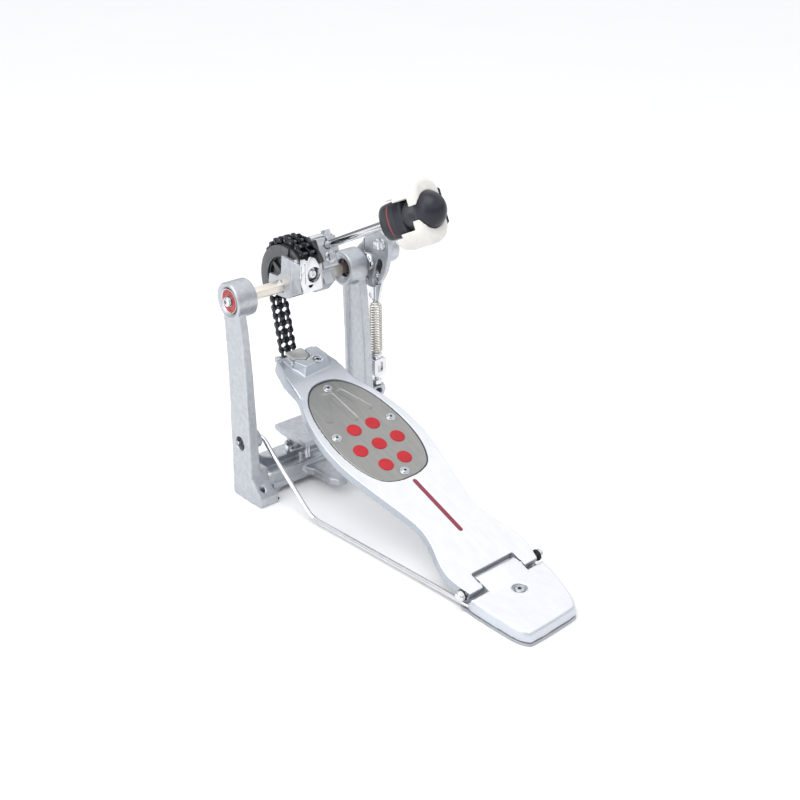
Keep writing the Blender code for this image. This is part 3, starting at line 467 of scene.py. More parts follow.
def make_studio():
    """White floor under a bright sky with one dark band for the chrome, a soft key and a side panel."""
    floor = bpy.data.objects.new("floor", loose(box((-12000, -12000, -6), (12000, 12000, -0.2))))
    bpy.context.scene.collection.objects.link(floor)
    pale = surface("floor_paper", (0.93, 0.93, 0.93), (0.92, 0.92, 0.92), 0.0, (0.8, 0.9), spots=3.0,
                   bump=0.0)
    floor.data.materials.append(pale)
    make_light("key", (-0.5, -0.2, 1.5), (1.2, 1.2), 9.0)
    make_light("left_panel", (-1.5, 0.1, 0.7), (1.0, 1.2), 5.0)
    world = bpy.data.worlds.new("studio")
    world.use_nodes = True
    nodes, links = world.node_tree.nodes, world.node_tree.links
    heading = nodes.new("ShaderNodeTexCoord")
    split = nodes.new("ShaderNodeSeparateXYZ")
    sky = nodes.new("ShaderNodeValToRGB")
    sky.color_ramp.elements[0].position = 0.0
    sky.color_ramp.elements[0].color = (0.85, 0.86, 0.88, 1.0)
    sky.color_ramp.elements[1].position = 0.38
    sky.color_ramp.elements[1].color = (0.97, 0.98, 1.0, 1.0)
    for place, shade in ((0.07, 0.80), (0.10, 0.05), (0.18, 0.24)):
        band = sky.color_ramp.elements.new(place)
        band.color = (shade * 0.96, shade * 0.98, shade, 1.0)
    links.new(heading.outputs["Generated"], split.inputs["Vector"])
    links.new(split.outputs["Z"], sky.inputs["Fac"])
    links.new(sky.outputs["Color"], nodes["Background"].inputs["Color"])
    nodes["Background"].inputs["Strength"].default_value = 1.12
    bpy.context.scene.world = world


# ---------------------------------------------------------------- frame casting
def make_frame_casting():
    """Cross member, feet and posts as one casting with filleted corners."""
    adds = [box((-71, -19, 0), (71, 9, 20))]
    wall = [(62, 12), (62, 52), (57, 46), (50, 35), (42, 27), (30, 21.6), (25, 20.4)]
    adds.append(prism(wall + [(-x, z) for x, z in reversed(wall)], 4.3, 9, axis="Y"))
    adds.append(box((-50, -21.5, 5), (50, -18, 12)))
    adds.append(prism([(-15, -17), (-9.5, -30), (-9, -53), (-5, -61.5), (5, -61.5), (9, -53), (9.5, -30),
                       (15, -17)], 8.5, 16))
    adds.append(box((-22, 2, 0), (22, 44, 7)))
    cuts = [box((-46, -14.5, 13.5), (46, 4.3, 70)),
            prism([(-45, -9), (-45, -1), (-37, 3.4), (-20, 5), (20, 5), (37, 3.4), (45, -1), (45, -9)],
                  -30, -4, axis="Y")]
    for side in (-1, 1):
        adds += post_solids(side)
        cuts += post_cuts(side)
        ear = sorted((side * 11.8, side * 15.5))
        adds.append(xprism([(-16, 8), (8.4, 8), (8.1, 32.2), (6.4, 33.4), (-12, 32.2), (-16, 29.5)], *ear))
    mesh = combined(adds, cuts, voxel=0.9, relax=3)
    piece("frame_casting", mesh, "frame", CAST, replaces=("base_frame", "left_post", "right_post"),
          smooth=180.0)


def post_solids(side):
    """Foot, upright, bearing housing and wire boss of one side."""
    foot = xprism([(8.2, 0), (8.2, 30), (-18, 30), (-21.5, 24), (-33.5, 9), (-33.5, 0)],
                  *sorted((side * 54.0, side * 71.2)))
    flare = prism([(side * 70.0, 0.1), (side * 74.0, 0.1), (side * 73.3, 30.0), (side * 70.0, 30.0)],
                  -20.6, 8.1, axis="Y")
    toe = xprism([(-18.0, 0.1), (-18.0, 26.0), (-21.6, 23.6), (-33.4, 8.9), (-33.4, 0.1)],
                 *sorted((side * 70.0, side * 73.2)))
    sections = ((10, -20.5, 8.3, 73.4), (60, -19.8, 8.2, 72.4), (120, -18.6, 8.0, 71.2),
                (165, -16.0, 9.5, 70.2), (184, -13.0, 11.0, 70.2))
    post = loft([[(side * x, y, z) for x, y in ((62.4, low), (wide, low), (wide, high), (62.4, high))]
                 for z, low, high, wide in sections])
    rib = xprism([(2.5, 10), (8.2, 10), (7.9, 120), (9.0, 165), (9, 178), (3.5, 178), (3.0, 120)],
                 *sorted((side * 59.5, side * 64.0)))
    barrel = rod((side * 51.2, 0, AXLE_HEIGHT), (side * 71.6, 0, AXLE_HEIGHT), 16.5, sides=64, bevel=0.8)
    boss = rod((side * 53.5, *WIRE_BORE), (side * 71.2, *WIRE_BORE), 8.6)
    pad = rod((side * 58.5, 7.0, 35), (side * 63.5, 7.0, 35), 6.0)
    return [foot, flare, toe, post, rib, barrel, boss, pad]


def post_cuts(side):
    """Bearing bore, wire bore, foot slope with its hole, and the groove along the post."""
    centre = AXLE_HEIGHT
    return [rod((side * 57, 0, centre), (side * 90, 0, centre), 11.3, sides=64),
            rod((side * 40, 0, centre), (side * 60, 0, centre), 8.2, sides=64),
            turned([(0, 14.6), (2.6, 11.2)], (side * 71.8, 0, centre), (side * 60, 0, centre), 64),
            turned([(0, 13.6), (0.4, 13.2), (3.4, 8.4), (3.6, 8.0)], (side * 51.0, 0, centre),
                   (side * 60, 0, centre), 64), rod((side * 64.5, *WIRE_BORE), (side * 80, *WIRE_BORE), 6.6),
            rod((side * 50, *WIRE_BORE), (side * 80, *WIRE_BORE), 2.7),
            rod((side * 66.4, -27.4, -5), (side * 66.4, -27.4, 30), 2.4),
            box((min(side * 45, side * 55.9), -40, 12), (max(side * 45, side * 55.9), -19.2, 60)),
            xprism([(-22, 26), (-20.4, 26), (-18.0, 110), (-15.4, 160), (-13, 172), (-15, 172), (-20, 110)],
                   *sorted((side * 65.4, side * 67.0)))]


# ---------------------------------------------------------------- axle and bearings
def make_bearing(name, side):
    """Bearing with its outer and inner races and its red seal."""
    start, end = (side * 70.4, 0, 0), (side * 60.0, 0, 0)
    seal = washer([(0.7, 4.9), (0.4, 5.4), (0.4, 7.6), (0.8, 7.9), (0.8, 8.4), (0.4, 8.7), (0.6, 10.2),
                   (3.0, 10.2), (3.0, 4.9)], start, end, 64)
    stand_in(name, loose(seal), "frame", RED_SEAL, AXLE, smooth=40.0)
    races = [washer([(0.2, 10.2), (0.0, 10.5), (0.0, 10.9), (7.4, 10.9), (7.4, 10.2)], start, end, 64),
             washer([(0.4, 4.3), (0.1, 4.5), (0.1, 4.8), (7.4, 4.8), (7.4, 4.3)], start, end, 48)]
    piece(name + "_race", loose(*races), "frame", CHROME, AXLE)


def make_axle():
    """Hexagonal axle, its end bolt and the nut beside the rocker."""
    flats = 10.6 / math.sqrt(3)
    hexagon = [(flats * math.cos(math.radians(a)), flats * math.sin(math.radians(a)))
               for a in range(30, 390, 60)]
    bar = xprism(hexagon, -50.2, 50.2)
    stubs = [rod((-69.6, 0, 0), (-45, 0, 0), 4.0), rod((45, 0, 0), (80, 0, 0), 4.0),
             rod((-62.5, 0, 0), (-48, 0, 0), 4.9), rod((48, 0, 0), (62.5, 0, 0), 4.9)]
    stand_in("axle", combined([bar, *stubs], bevel=0.35), "axle_group", AXLE_STEEL, AXLE, smooth=25.0)
    bolt = turned([(0, 2.2), (0.2, 3.4), (0.9, 4.3), (2.4, 4.6), (2.9, 4.3), (4.5, 4.0)], (-74, 0, 0),
                  (0, 0, 0))
    socket = turned([(0, 2.2), (2.4, 2.0), (3.0, 0.2)], (-74.1, 0, 0), (0, 0, 0), 6)
    stand_in("axle_bolt", combined([bolt], [socket]), "axle_group", CHROME, AXLE)
    nut = combined([turned([(0, 6.0), (0.6, 7.0), (3.4, 7.0), (4.0, 6.0)], (72, 0, 0), (80, 0, 0), 6)],
                   [rod((70, 0, 0), (80, 0, 0), 4.1)])
    stand_in("axle_nut", nut, "axle_group", CHROME, AXLE, smooth=25.0)


# ---------------------------------------------------------------- cam and hub
def make_cam():
    """Cam with a deep rim and a side flange, whose three windows are pockets in front of a web."""
    middle = (0.0, CAM_RISE)

    def band(outer, inner):
        return arc(middle, outer, -40.0, 150.0, 60) + arc(middle, inner, 150.0, -40.0, 60)

    flange = (0.0, 1.0)
    ring = arc(flange, 34.9, -22.0, 104.0, 50) + arc(flange, 24.8, 104.0, -22.0, 50)
    adds = [xprism(ring, -12.0, -9.0), xprism(band(28.6, 21.0), -10.0, 9.6),
            xprism(band(32.5, 25.0), 9.2, 11.6), xprism(arc(middle, 26.0, -40.0, 150.0, 40)
                                                        + [(-9.0, 0.0), (-2.0, -9.0), (9.0, -8.0)], -9.6,
                                                        -4.5), rod((-11.0, 0, 0), (10.0, 0, 0), 12.5)]
    cuts = [rod((-30, 0, 0), (30, 0, 0), 9.2)]
    for start, stop in ((-14.0, 34.0), (42.0, 86.0), (94.0, 142.0)):
        lean = (stop - start) * 0.30
        window = arc(flange, 24.0, start, stop, 10) + arc(flange, 10.5, stop - lean, start + lean, 4)
        cuts.append(xprism(window, -20, -6.2))
    stand_in("cam", combined(adds, cuts, bevel=0.35), "axle_group", CAM_BLACK, AXLE, smooth=35.0)


def make_hub():
    """Cast hub with its side plate, and the chrome plate that clamps the chain's end."""
    cheek = [(-3.9, 29.3), (-1.8, 12.9), (4.2, 8.4), (15.9, 8.2), (18.1, -0.4), (9.5, -8.0), (3.9, -10.0),
             (-9.5, -9.0), (-14.0, -6.5), (-16.0, 12.0), (-17.8, 28.0)]
    wedge = loft([[(-16.1, y, z) for y, z in ((-8, -8.8), (-14.2, -6.3), (-16, 12), (-17.6, 27.4), (-6, 28))],
                  [(-12.0, y, z) for y, z in ((-8, -8.6), (-24.2, -1.2), (-24.2, 12), (-24.2, 25),
                                              (-6, 28.6))]])
    adds = [rod((-13, 0, 0), (12.6, 0, 0), 9.0), xprism(cheek, -16.5, -12.8), wedge,
            xprism([(-6.0, -8.4), (-12, -7.2), (-24.0, -1.5), (-24.0, 20.0), (-19.0, 28.6), (-15, 27.0),
                    (-8, 11)], -12.4, 12.5)]
    flats = 10.9 / math.sqrt(3)
    bore = turned([(0, flats), (60, flats)], (-30, 0, 0), (30, 0, 0), 6)
    pocket = rod((0.5, -40, 14.0), (0.5, -19, 14.0), 7.2)
    stand_in("cam_hub", combined(adds, [bore, pocket], voxel=0.5, relax=2), "axle_group", CAST, AXLE,
             smooth=180.0)
    outline = [(-10.4, -0.9), (8.8, -0.6), (8.4, 8.0), (5.6, 22.6), (2.2, 28.4), (-1.6, 30.6), (-3.4, 30.0),
               (-5.2, 28.2), (-7.4, 28.6), (-9.0, 30.2), (-11.4, 29.8), (-12.4, 24.0), (-12.9, 11.0)]
    plate = prism(outline, -27.4, -24.6, axis="Y")
    moon = [(-6.1, 5.8), *arc((-3.4, 5.8), 2.7, 180, 360, 12)]
    holes = [rod((0.5, -40, 14.0), (0.5, -20, 14.0), 6.9), prism(moon, -40, -20, axis="Y"),
             box((-9.4, -40, 8.0), (-8.5, -26.6, 26.0)), box((-14, -40, 17.6), (-9.8, -26.8, 18.6))]
    stand_in("chain_clamp", combined([plate], holes, bevel=0.45), "axle_group", CHROME, AXLE)
    # Painted shade: dark discs behind the moon-shaped hole and at the bottom of the bolt's pocket.
    backing = rod((-3.4, -24.3, 4.6), (-3.4, -25.4, 4.6), 3.0)
    recess = rod((0.5, -19.2, 14.0), (0.5, -20.0, 14.0), 7.1)
    piece("chain_clamp_bores", loose(backing, recess), "axle_group", HOLE_SHADE, AXLE)
    flange = turned([(0, 5.6), (0.6, 6.0), (1.6, 5.8), (2.2, 4.4)], CLAMP_BOLT, CLAMP_BOLT_END)
    cap = turned([(1.8, 4.2), (4.8, 4.1), (6.0, 3.2), (6.4, 1.6)], CLAMP_BOLT, CLAMP_BOLT_END)
    socket = turned([(4.8, 1.9), (9.0, 1.9)], CLAMP_BOLT, CLAMP_BOLT_END, 6)
    bolt = combined([flange, cap], [socket])
    stand_in("chain_clamp_bolt", bolt, "axle_group", CHROME, AXLE)


def cam_pin(index):
    """Place of a chain pin on the cam, as (y, z), counted up from where the chain leaves it."""
    step = 2 * math.asin(CHAIN_PITCH / 2 / CAM_RADIUS)
    angle = -CHAIN_TILT + index * step
    return Vector((CAM_RADIUS * math.cos(angle), AXLE_HEIGHT + CAM_RISE + CAM_RADIUS * math.sin(angle)))


def side_plate(a, b, low, high):
    """Waisted chain plate between two pins."""
    along = (b - a).normalized()
    across = Vector((-along.y, along.x))
    heading = math.degrees(math.atan2(along.y, along.x))
    middle = (a + b) / 2
    outline = (arc(b, 2.9, heading - 100, heading + 100, 9) + [tuple(middle + across * 1.5)]
               + arc(a, 2.9, heading + 80, heading + 280, 9) + [tuple(middle - across * 1.5)])
    return xprism(outline, low, high)


def chain_link(a, b, inner):
    """Solids of one duplex link: plates with rollers on an inner link, plates with pins on an outer one."""
    solids, plates = [], []
    bands = ((5.8, 6.8), (1.1, 1.9)) if inner else ((7.1, 8.1), (-0.5, 0.5))
    for low, high in bands:
        plates.append(side_plate(a, b, low, high))
        if low > 0:
            plates.append(side_plate(a, b, -high, -low))
    for pin in (a, b):
        if inner:
            for low, high in ((2.15, 5.45), (-5.45, -2.15)):
                solids.append(rod((low, *pin), (high, *pin), 2.0, sides=20, bevel=0.25))
        else:
            solids.append(rod((-8.9, *pin), (8.9, *pin), 1.35, sides=14, bevel=0.3))
    return plates, solids


def make_chain():
    """Chain on the cam, four lifting links, and the hanging run, each on its own body."""
    chain_piece("chain_on_cam", [chain_link(cam_pin(i), cam_pin(i + 1), i % 2 == 0) for i in range(4, 10)],
                "axle_group")
    for number in range(1, 5):
        index = 4 - number
        chain_piece("chain_link_%d" % number, [chain_link(cam_pin(index + 1), cam_pin(index),
                                                          index % 2 == 0)], "link_%d" % number)
    top = cam_pin(0)
    down = Vector((-math.sin(CHAIN_TILT), -math.cos(CHAIN_TILT))) * CHAIN_PITCH
    chain_piece("chain_straight", [chain_link(top + down * i, top + down * (i + 1), i % 2 == 1)
                                   for i in range(CHAIN_LINKS)], "chain_hang")


def chain_piece(name, links, body):
    """Black plates, and their rollers and pins in a brighter dark steel."""
    plates = [plate for flat, round_parts in links for plate in flat]
    pins = [part for flat, round_parts in links for part in round_parts]
    stand_in(name, loose(*plates), body, CHAIN_BLACK, smooth=35.0)
    piece(name + "_rollers", loose(*pins), body, CHAIN_PIN, smooth=35.0)


# ---------------------------------------------------------------- beater
def make_holder():
    """Cast holder on the axle with its clamp slit, two square-headed key bolts and a cap."""
    outline = [(30.2, -3), (30.6, 4), (30.4, 25.2), (29.4, 26.2), (5.0, 25.4), (3.6, 24.2), (2.4, 14.5),
               (-9, 13), (-14, 0), (-10, -10), (0, -13), (12, -10), (22, -4)]
    block = xprism(outline, 16.5, 33.0)
    lip = xprism([(30.1, 2), (30.1, 24.5), (16, 24.5), (10, 4)], 16.7, 38.6)
    cheek = xprism([(3.2, 14.0), (-9.2, 16.0), (-11.2, 12.0), (-10.4, 3.0), (3.2, 2.0)], 19.5, 30.0)
    flats = 10.9 / math.sqrt(3)
    cuts = [turned([(0, flats), (60, flats)], (0, 0, 0), (60, 0, 0), 6),
            rod((*SHAFT, -30), (*SHAFT, 60), 4.0), box((26.2, 22, -30), (27.8, 40, 60))]
    stand_in("beater_holder", combined([block, lip, cheek], cuts, voxel=0.5, relax=2), "axle_group", CAST,
             BEATER, smooth=180.0)
    for number, foot, tip in ((1, (34.0, 29.9, 18.5), (34.0, 36.4, 18.5)),
                              (2, (26, 12.5, 25.0), (26, 11.4, 30.0))):
        along = Vector(tip) - Vector(foot)
        reach = along.length
        head = turned([(0, 4.8), (0.4, 5.4), (1.4, 5.4), (2.0, 4.8), (2.4, 3.4)], foot, tip)
        square = turned([(1.8, 4.3), (reach - 0.6, 4.3), (reach, 3.4)], foot, tip, 4)
        stand_in("holder_key_%d" % number, loose(head, square), "axle_group", SATIN, BEATER)
    clip = combined([xprism([(31, 8), (31, 20), (33.5, 20), (34.5, 17), (34.5, 11), (33.5, 8)], 15, 33)],
                    bevel=0.6)
    piece("holder_cap", clip, "axle_group", CHROME, BEATER)


def make_beater():
    """Steel shaft, shaped plastic core with its red line, and two felts pressed round the core."""
    shaft = turned([(0, 2.6), (0.8, 3.7), (158, 3.7)], (*SHAFT, -8), (*SHAFT, 150), 40)
    stand_in("beater_shaft", loose(shaft), "beater_rod", CHROME, BEATER, smooth=40.0)
    head = BEATER @ placed((*SHAFT, 0.0))

    def oval(reach, wide, deep, power=0.85):
        ring = []
        for i in range(64):
            a = 2 * math.pi * i / 64
            c, s = math.cos(a), math.sin(a)
            ring.append((wide * math.copysign(abs(c) ** power, c), deep * math.copysign(abs(s) ** power, s),
                         reach))
        return ring

    collar = loft([oval(*row) for row in (
        (116.2, 7.4, 12.8), (116.7, 8.4, 14.0), (118.2, 9.1, 14.9), (122.0, 9.6, 15.3), (137.0, 10.3, 15.9),
        (138.6, 10.2, 15.9), (143.6, 8.5, 15.7), (144.2, 8.5, 15.6), (144.8, 9.0, 15.6), (146.2, 8.9, 15.2),
        (147.0, 8.2, 14.2), (147.2, 6.0, 11.0))])
    neck = loft([oval(z, wide, deep, 1.0) for z, wide, deep in
                 ((144.0, 8.2, 12.7), (150.0, 8.6, 12.5), (156.0, 9.7, 12.7), (161.0, 11.2, 13.1),
                  (166.0, 12.6, 13.4), (168.0, 12.0, 13.0))])
    bulb = ball((0, 0, 0), 15.3, sides=56)
    bulb.data.transform(Matrix.Translation((0, -0.0006, 0.171)) @ Matrix.Diagonal((0.88, 1.0, 1.0, 1.0)))
    core = combined([collar, neck, bulb])
    stand_in("beater_core", core, "beater_head", CORE, head, smooth=50.0)
    line = loft([oval(z, 10.0 + grow, 15.6 + grow) for z, grow in
                 ((128.9, -0.9), (129.0, 0.0), (129.4, 0.12), (130.1, 0.12), (130.5, 0.0), (130.6, -0.9))])
    ends = [box((-20, side * 18.9 - 6.3, 120), (20, side * 18.9 + 6.3, 140)) for side in (-1, 1)]
    piece("beater_line", combined([line], ends), "beater_head", CORE_RED, head, smooth=40.0)
    end_plate = combined([xprism([(-14.0, 146), (14.0, 146), (15.4, 149), (15.4, 170), (13.5, 173.4),
                                  (-13.5, 173.4), (-15.4, 170), (-15.4, 149)], 13.4, 14.9)], bevel=0.4)
    piece("beater_side_plate", end_plate, "beater_head", CORE, head)
    for side, node in ((1, "felt_front"), (-1, "felt_back")):
        make_felt(side, node, head)


def make_felt(side, node, head):
    """Pressed felt: half of an oval block with rounded edges, fitted to the neck and ball."""
    rings = []
    for reach, inset in ((134.8, 3.8), (135.4, 1.8), (137.0, 0.5), (140.0, 0.0), (168.0, 0.0), (171.2, 0.9),
                         (173.2, 2.4), (174.2, 4.8)):
        dome = arc((0, side * 11.9), 15.2 - inset, 0, side * 180, 28)
        foot = [(-15.2 + inset, side * 6.0), (15.2 - inset, side * 6.0)]
        rings.append([(x, n, reach) for x, n in dome + foot])
    bulb = ball((0, 0, 0), 15.45, sides=48)
    bulb.data.transform(Matrix.Translation((0, -0.0006, 0.171)) @ Matrix.Diagonal((0.9, 1.0, 1.0, 1.0)))
    cuts = [box((-30, -16.1, 110), (13.2, 16.1, 147.5)), box((-30, -12.8, 147), (13.2, 12.8, 166)),
            bulb, box((13.1, -15.8, 110), (30, 15.8, 190))]
    mesh = combined([loft(rings)], cuts, voxel=0.6, relax=2)
    felt = stand_in(node, mesh, "beater_head", FELT, head, smooth=180.0)


# ---------------------------------------------------------------- return spring
def make_rocker():
    """Spring rocker with its slot and slit, outer boss, clamp bolt and small screw."""
    outline = smooth_line([(9, 10), (11, 0), (8, -10), (0, -17), (-5, -19.8), (-13.5, -20.8), (-20, -17),
                           (-31, -4), (-36, 10), (-38, 22), (-36, 31), (-27, 36.3), (-12, 34.4), (-4.5, 29.5),
                           (-1, 21), (5, 16)], steps=4, closed=True)
    adds = [xprism(outline, 76.6, 81.4), rod((78, 0, 0), (87.5, 0, 0), 6.0),
            rod((80, *ROCKER_BOSS), (89.5, *ROCKER_BOSS), 14.0)]
    cuts = [xprism(capsule((-25.2, 6.2), (-18.2, -13.4), 3.7), 60, 100),
            box((60, -4.2, 12), (82.0, -2.8, 45)), rod((70, 0, 0), (100, 0, 0), 4.2),
            rod((86.5, *ROCKER_BOSS), (95, *ROCKER_BOSS), 9.5)]
    stand_in("spring_rocker", combined(adds, cuts, voxel=0.5, relax=2), "axle_group", CAST, AXLE,
             smooth=180.0)
    # Painted shade: a dark sheet inside the slot, which goes right through the rocker.
    floor = xprism(capsule((-26.5, 8.6), (-22.4, -3.6), 4.4), 80.7, 81.2)
    piece("rocker_slot_shade", loose(floor), "axle_group", HOLE_SHADE, AXLE)
    pin = rod((79, *HOOK_PIN), (88.5, *HOOK_PIN), 2.2, bevel=0.4)
    bar = rod((81.0, HOOK_PIN[0] - 5, HOOK_PIN[1] + 3), (81.0, HOOK_PIN[0] + 6, HOOK_PIN[1] - 3), 0.9)
    bolt = (-27.5, 24.5)
    flange = turned([(0, 5.4), (1.0, 6.0), (1.8, 5.8), (2.4, 4.4)], (76.7, *bolt), (60, *bolt))
    square = turned([(1.5, 4.6), (6.0, 4.6), (6.8, 3.6)], (76.7, *bolt), (60, *bolt), 4)
    pinch = turned([(0, 6.6), (0.5, 7.2), (3.4, 7.2), (4.0, 6.2)], (76.7, *PINCH_BOLT), (60, *PINCH_BOLT), 6)
    rim = washer([(0.2, 7.0), (0.0, 7.6), (1.4, 8.2), (2.2, 7.6), (2.2, 7.0)], (76.7, *PINCH_BOLT),
                 (60, *PINCH_BOLT))
    stand_in("rocker_bolt", loose(flange, square, pinch, rim), "axle_group", CHROME, AXLE)
    piece("rocker_pin", loose(pin, bar), "axle_group", CHROME, AXLE)
    socket_screw("rocker_screw", (76.7, -6.0, -14.5), (-1, 0, 0), 2.7, 1.8, "axle_group", AXLE)
    cap = washer([(0, 4.2), (0.1, 11.5), (2.2, 11.5), (3.0, 10.7), (3.1, 7.4), (2.2, 6.6), (2.2, 4.2)],
                 (86.4, 0, 0), (95, 0, 0))
    piece("rocker_cap", loose(cap), "axle_group", CAST, AXLE)


def make_spring():
    """Flat hook with its wire loop, and the close-wound spring."""
    x, y = SPRING_AXIS
    eye_y, eye_z = HOOK_PIN[0], AXLE_HEIGHT + HOOK_PIN[1]
    outline = (arc((eye_y - 2.4, eye_z), 4.8, 180, 90, 6) + arc((eye_y, eye_z), 4.8, 90, 10, 6)
               + [(y - 1.2, 171), (y + 2.0, 167.5), (y + 8.4, 161), (y + 9.4, 157.5), (y + 8.6, 153.8),
                  (y + 4.0, 152.6), (y - 3.6, 152.6), (y - 5.4, 154.5), (y - 8.6, 168), (y - 11.4, 176)])
    strip = xprism(outline, 82.4, 85.6)
    slot = xprism(capsule((eye_y - 2.4, eye_z), (eye_y + 0.6, eye_z), 2.7), 70, 100)
    ring_hole = rod((70, y + 4.8, 158.0), (100, y + 4.8, 158.0), 2.2)
    crease = box((81.0, y - 1.4, 150.0), (83.0, y - 0.6, 168.0))
    hook = combined([strip], [slot, ring_hole, crease], bevel=0.4)
    stand_in("spring_hook", hook, "hook", CHROME)
    loop = smooth_line([(x, y - 3.2, 150.4), (x, y - 3.6, 152.4), (x, y - 2.0, 154.6), (x, y + 1.6, 154.8),
                        (x, y + 3.4, 152.6), (x, y + 3.0, 150.4)], steps=6)
    piece("spring_loop", loose(tube(loop, 0.7)), "hook", SPRING_STEEL, smooth=50.0)
    turns, steps = 20, 24
    coil = []
    for i in range(turns * steps + 1):
        share = i / (turns * steps)
        narrow = 1.0 - 0.42 * max(0.0, (share - 0.90) / 0.10) ** 2
        angle = 2 * math.pi * i / steps
        coil.append((x + 5.55 * narrow * math.cos(angle), y + 5.55 * narrow * math.sin(angle),
                     SPRING_BOTTOM + 0.6 + (SPRING_TOP - SPRING_BOTTOM - 0.2) * share))
    spring = stand_in("return_spring", loose(tube(coil, 0.66, sides=8)), None, SPRING_STEEL, smooth=180.0)
    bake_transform(spring)


def make_adjuster():
    """Cup and clevis under the spring, threaded rod, cast eye and hexagon nut."""
    x, y = SPRING_AXIS
    cup = turned([(0, 4.4), (0.8, 5.4), (4.6, 5.6), (5.4, 4.8), (6.2, 3.0)], (x, y, 95.4), (x, y, 110))
    yoke = combined([prism(smooth_line([(x - 7.0, 80), (x - 3, 77.5), (x + 4, 77.5), (x + 7.2, 80.5),
                                        (x + 7.4, 92), (x + 5.6, 95.4), (x - 5.6, 95.4), (x - 7.2, 92)],
                                       steps=4, closed=True), y - 6.2, y + 5.6, axis="Y")],
                    [box((x - 2.6, -40, 82.4), (x + 3.0, 20, 91.6)),
                     box((x - 20, y - 2.6, 82.4), (x + 20, y + 2.0, 91.6))], voxel=0.5, relax=2)
    piece("adjuster_yoke", yoke, "frame", CHROME, smooth=180.0)
    thread = [(0.0, 1.5), (0.4, 2.1)]
    for i in range(32):
        thread += [(0.8 + i * 1.0, 2.1), (1.3 + i * 1.0, 1.75)]
    thread += [(33.0, 2.1), (34.0, 2.1)]
    screw = turned(thread, (x, y, 47), (x, y, 90), 20)
    inner = rod((x, y, 83), (x, y, 94), 2.0)
    stand_in("spring_adjuster", loose(cup, screw, inner), "frame", CHROME, smooth=50.0)
    eye = combined([rod((x, y, 57), (x, y, 67.6), 7.5, bevel=0.6), box((69, y - 6, 57.5), (x, y + 6, 67.2)),
                    rod((x - 11, y, 62), (x + 7.6, y, 62), 4.8)],
                   [rod((x, y, 40), (x, y, 90), 2.6), rod((x - 2.5, -40, 62.4), (x - 2.5, y - 4.6, 62.4),
                                                          3.6)], voxel=0.6, relax=3)
    # Painted shade: a dark disc at the bottom of the eye's side bore.
    piece("anchor_bore", loose(rod((x - 2.5, y - 4.4, 62.4), (x - 2.5, y - 5.2, 62.4), 3.8)), "frame",
          HOLE_SHADE)
    stand_in("spring_anchor", eye, "frame", CAST, smooth=180.0)
    nut = combined([turned([(0, 4.6), (0.5, 5.5), (4.2, 5.5), (4.7, 4.6)], (x, y, 68.3), (x, y, 80), 6)],
                   [rod((x, y, 60), (x, y, 80), 2.4)])
    stand_in("adjuster_nut", nut, "nut", CHROME, smooth=25.0)


# ---------------------------------------------------------------- footboard
HALF_BOARD = [(40.5, 2.0), (43.0, 18.0), (40.5, 32.0), (34.0, 50.0), (31.0, 66.0), (33.5, 84.0),
              (40.0, 112.0), (46.5, 142.0), (48.5, 165.0), (47.0, 186.0), (41.5, 212.0), (32.0, 236.0),
              (30.0, 250.0)]
EGG = [(0, 244.5), (14.0, 241.5), (26.0, 230.0), (34.0, 212.0), (38.4, 188.0), (39.0, 164.0), (35.0, 142.0),
       (26.0, 125.0), (13.0, 118.5), (0, 117.5)]


def half_width(along):
    """Half the board's width at a distance from the hinge."""
    for (x, y), (next_x, next_y) in zip(HALF_BOARD, HALF_BOARD[1:]):
        if y <= along <= next_y:
            return x + (next_x - x) * (along - y) / (next_y - y)
    return HALF_BOARD[-1][0]


def egg_outline(grow=0.0):
    """Outline of the tread plate, anticlockwise."""
    half = EGG + [(-x, y) for x, y in reversed(EGG[1:-1])]
    return grown(smooth_line([Vector(p) for p in half[::-1]], steps=5, closed=True), grow)


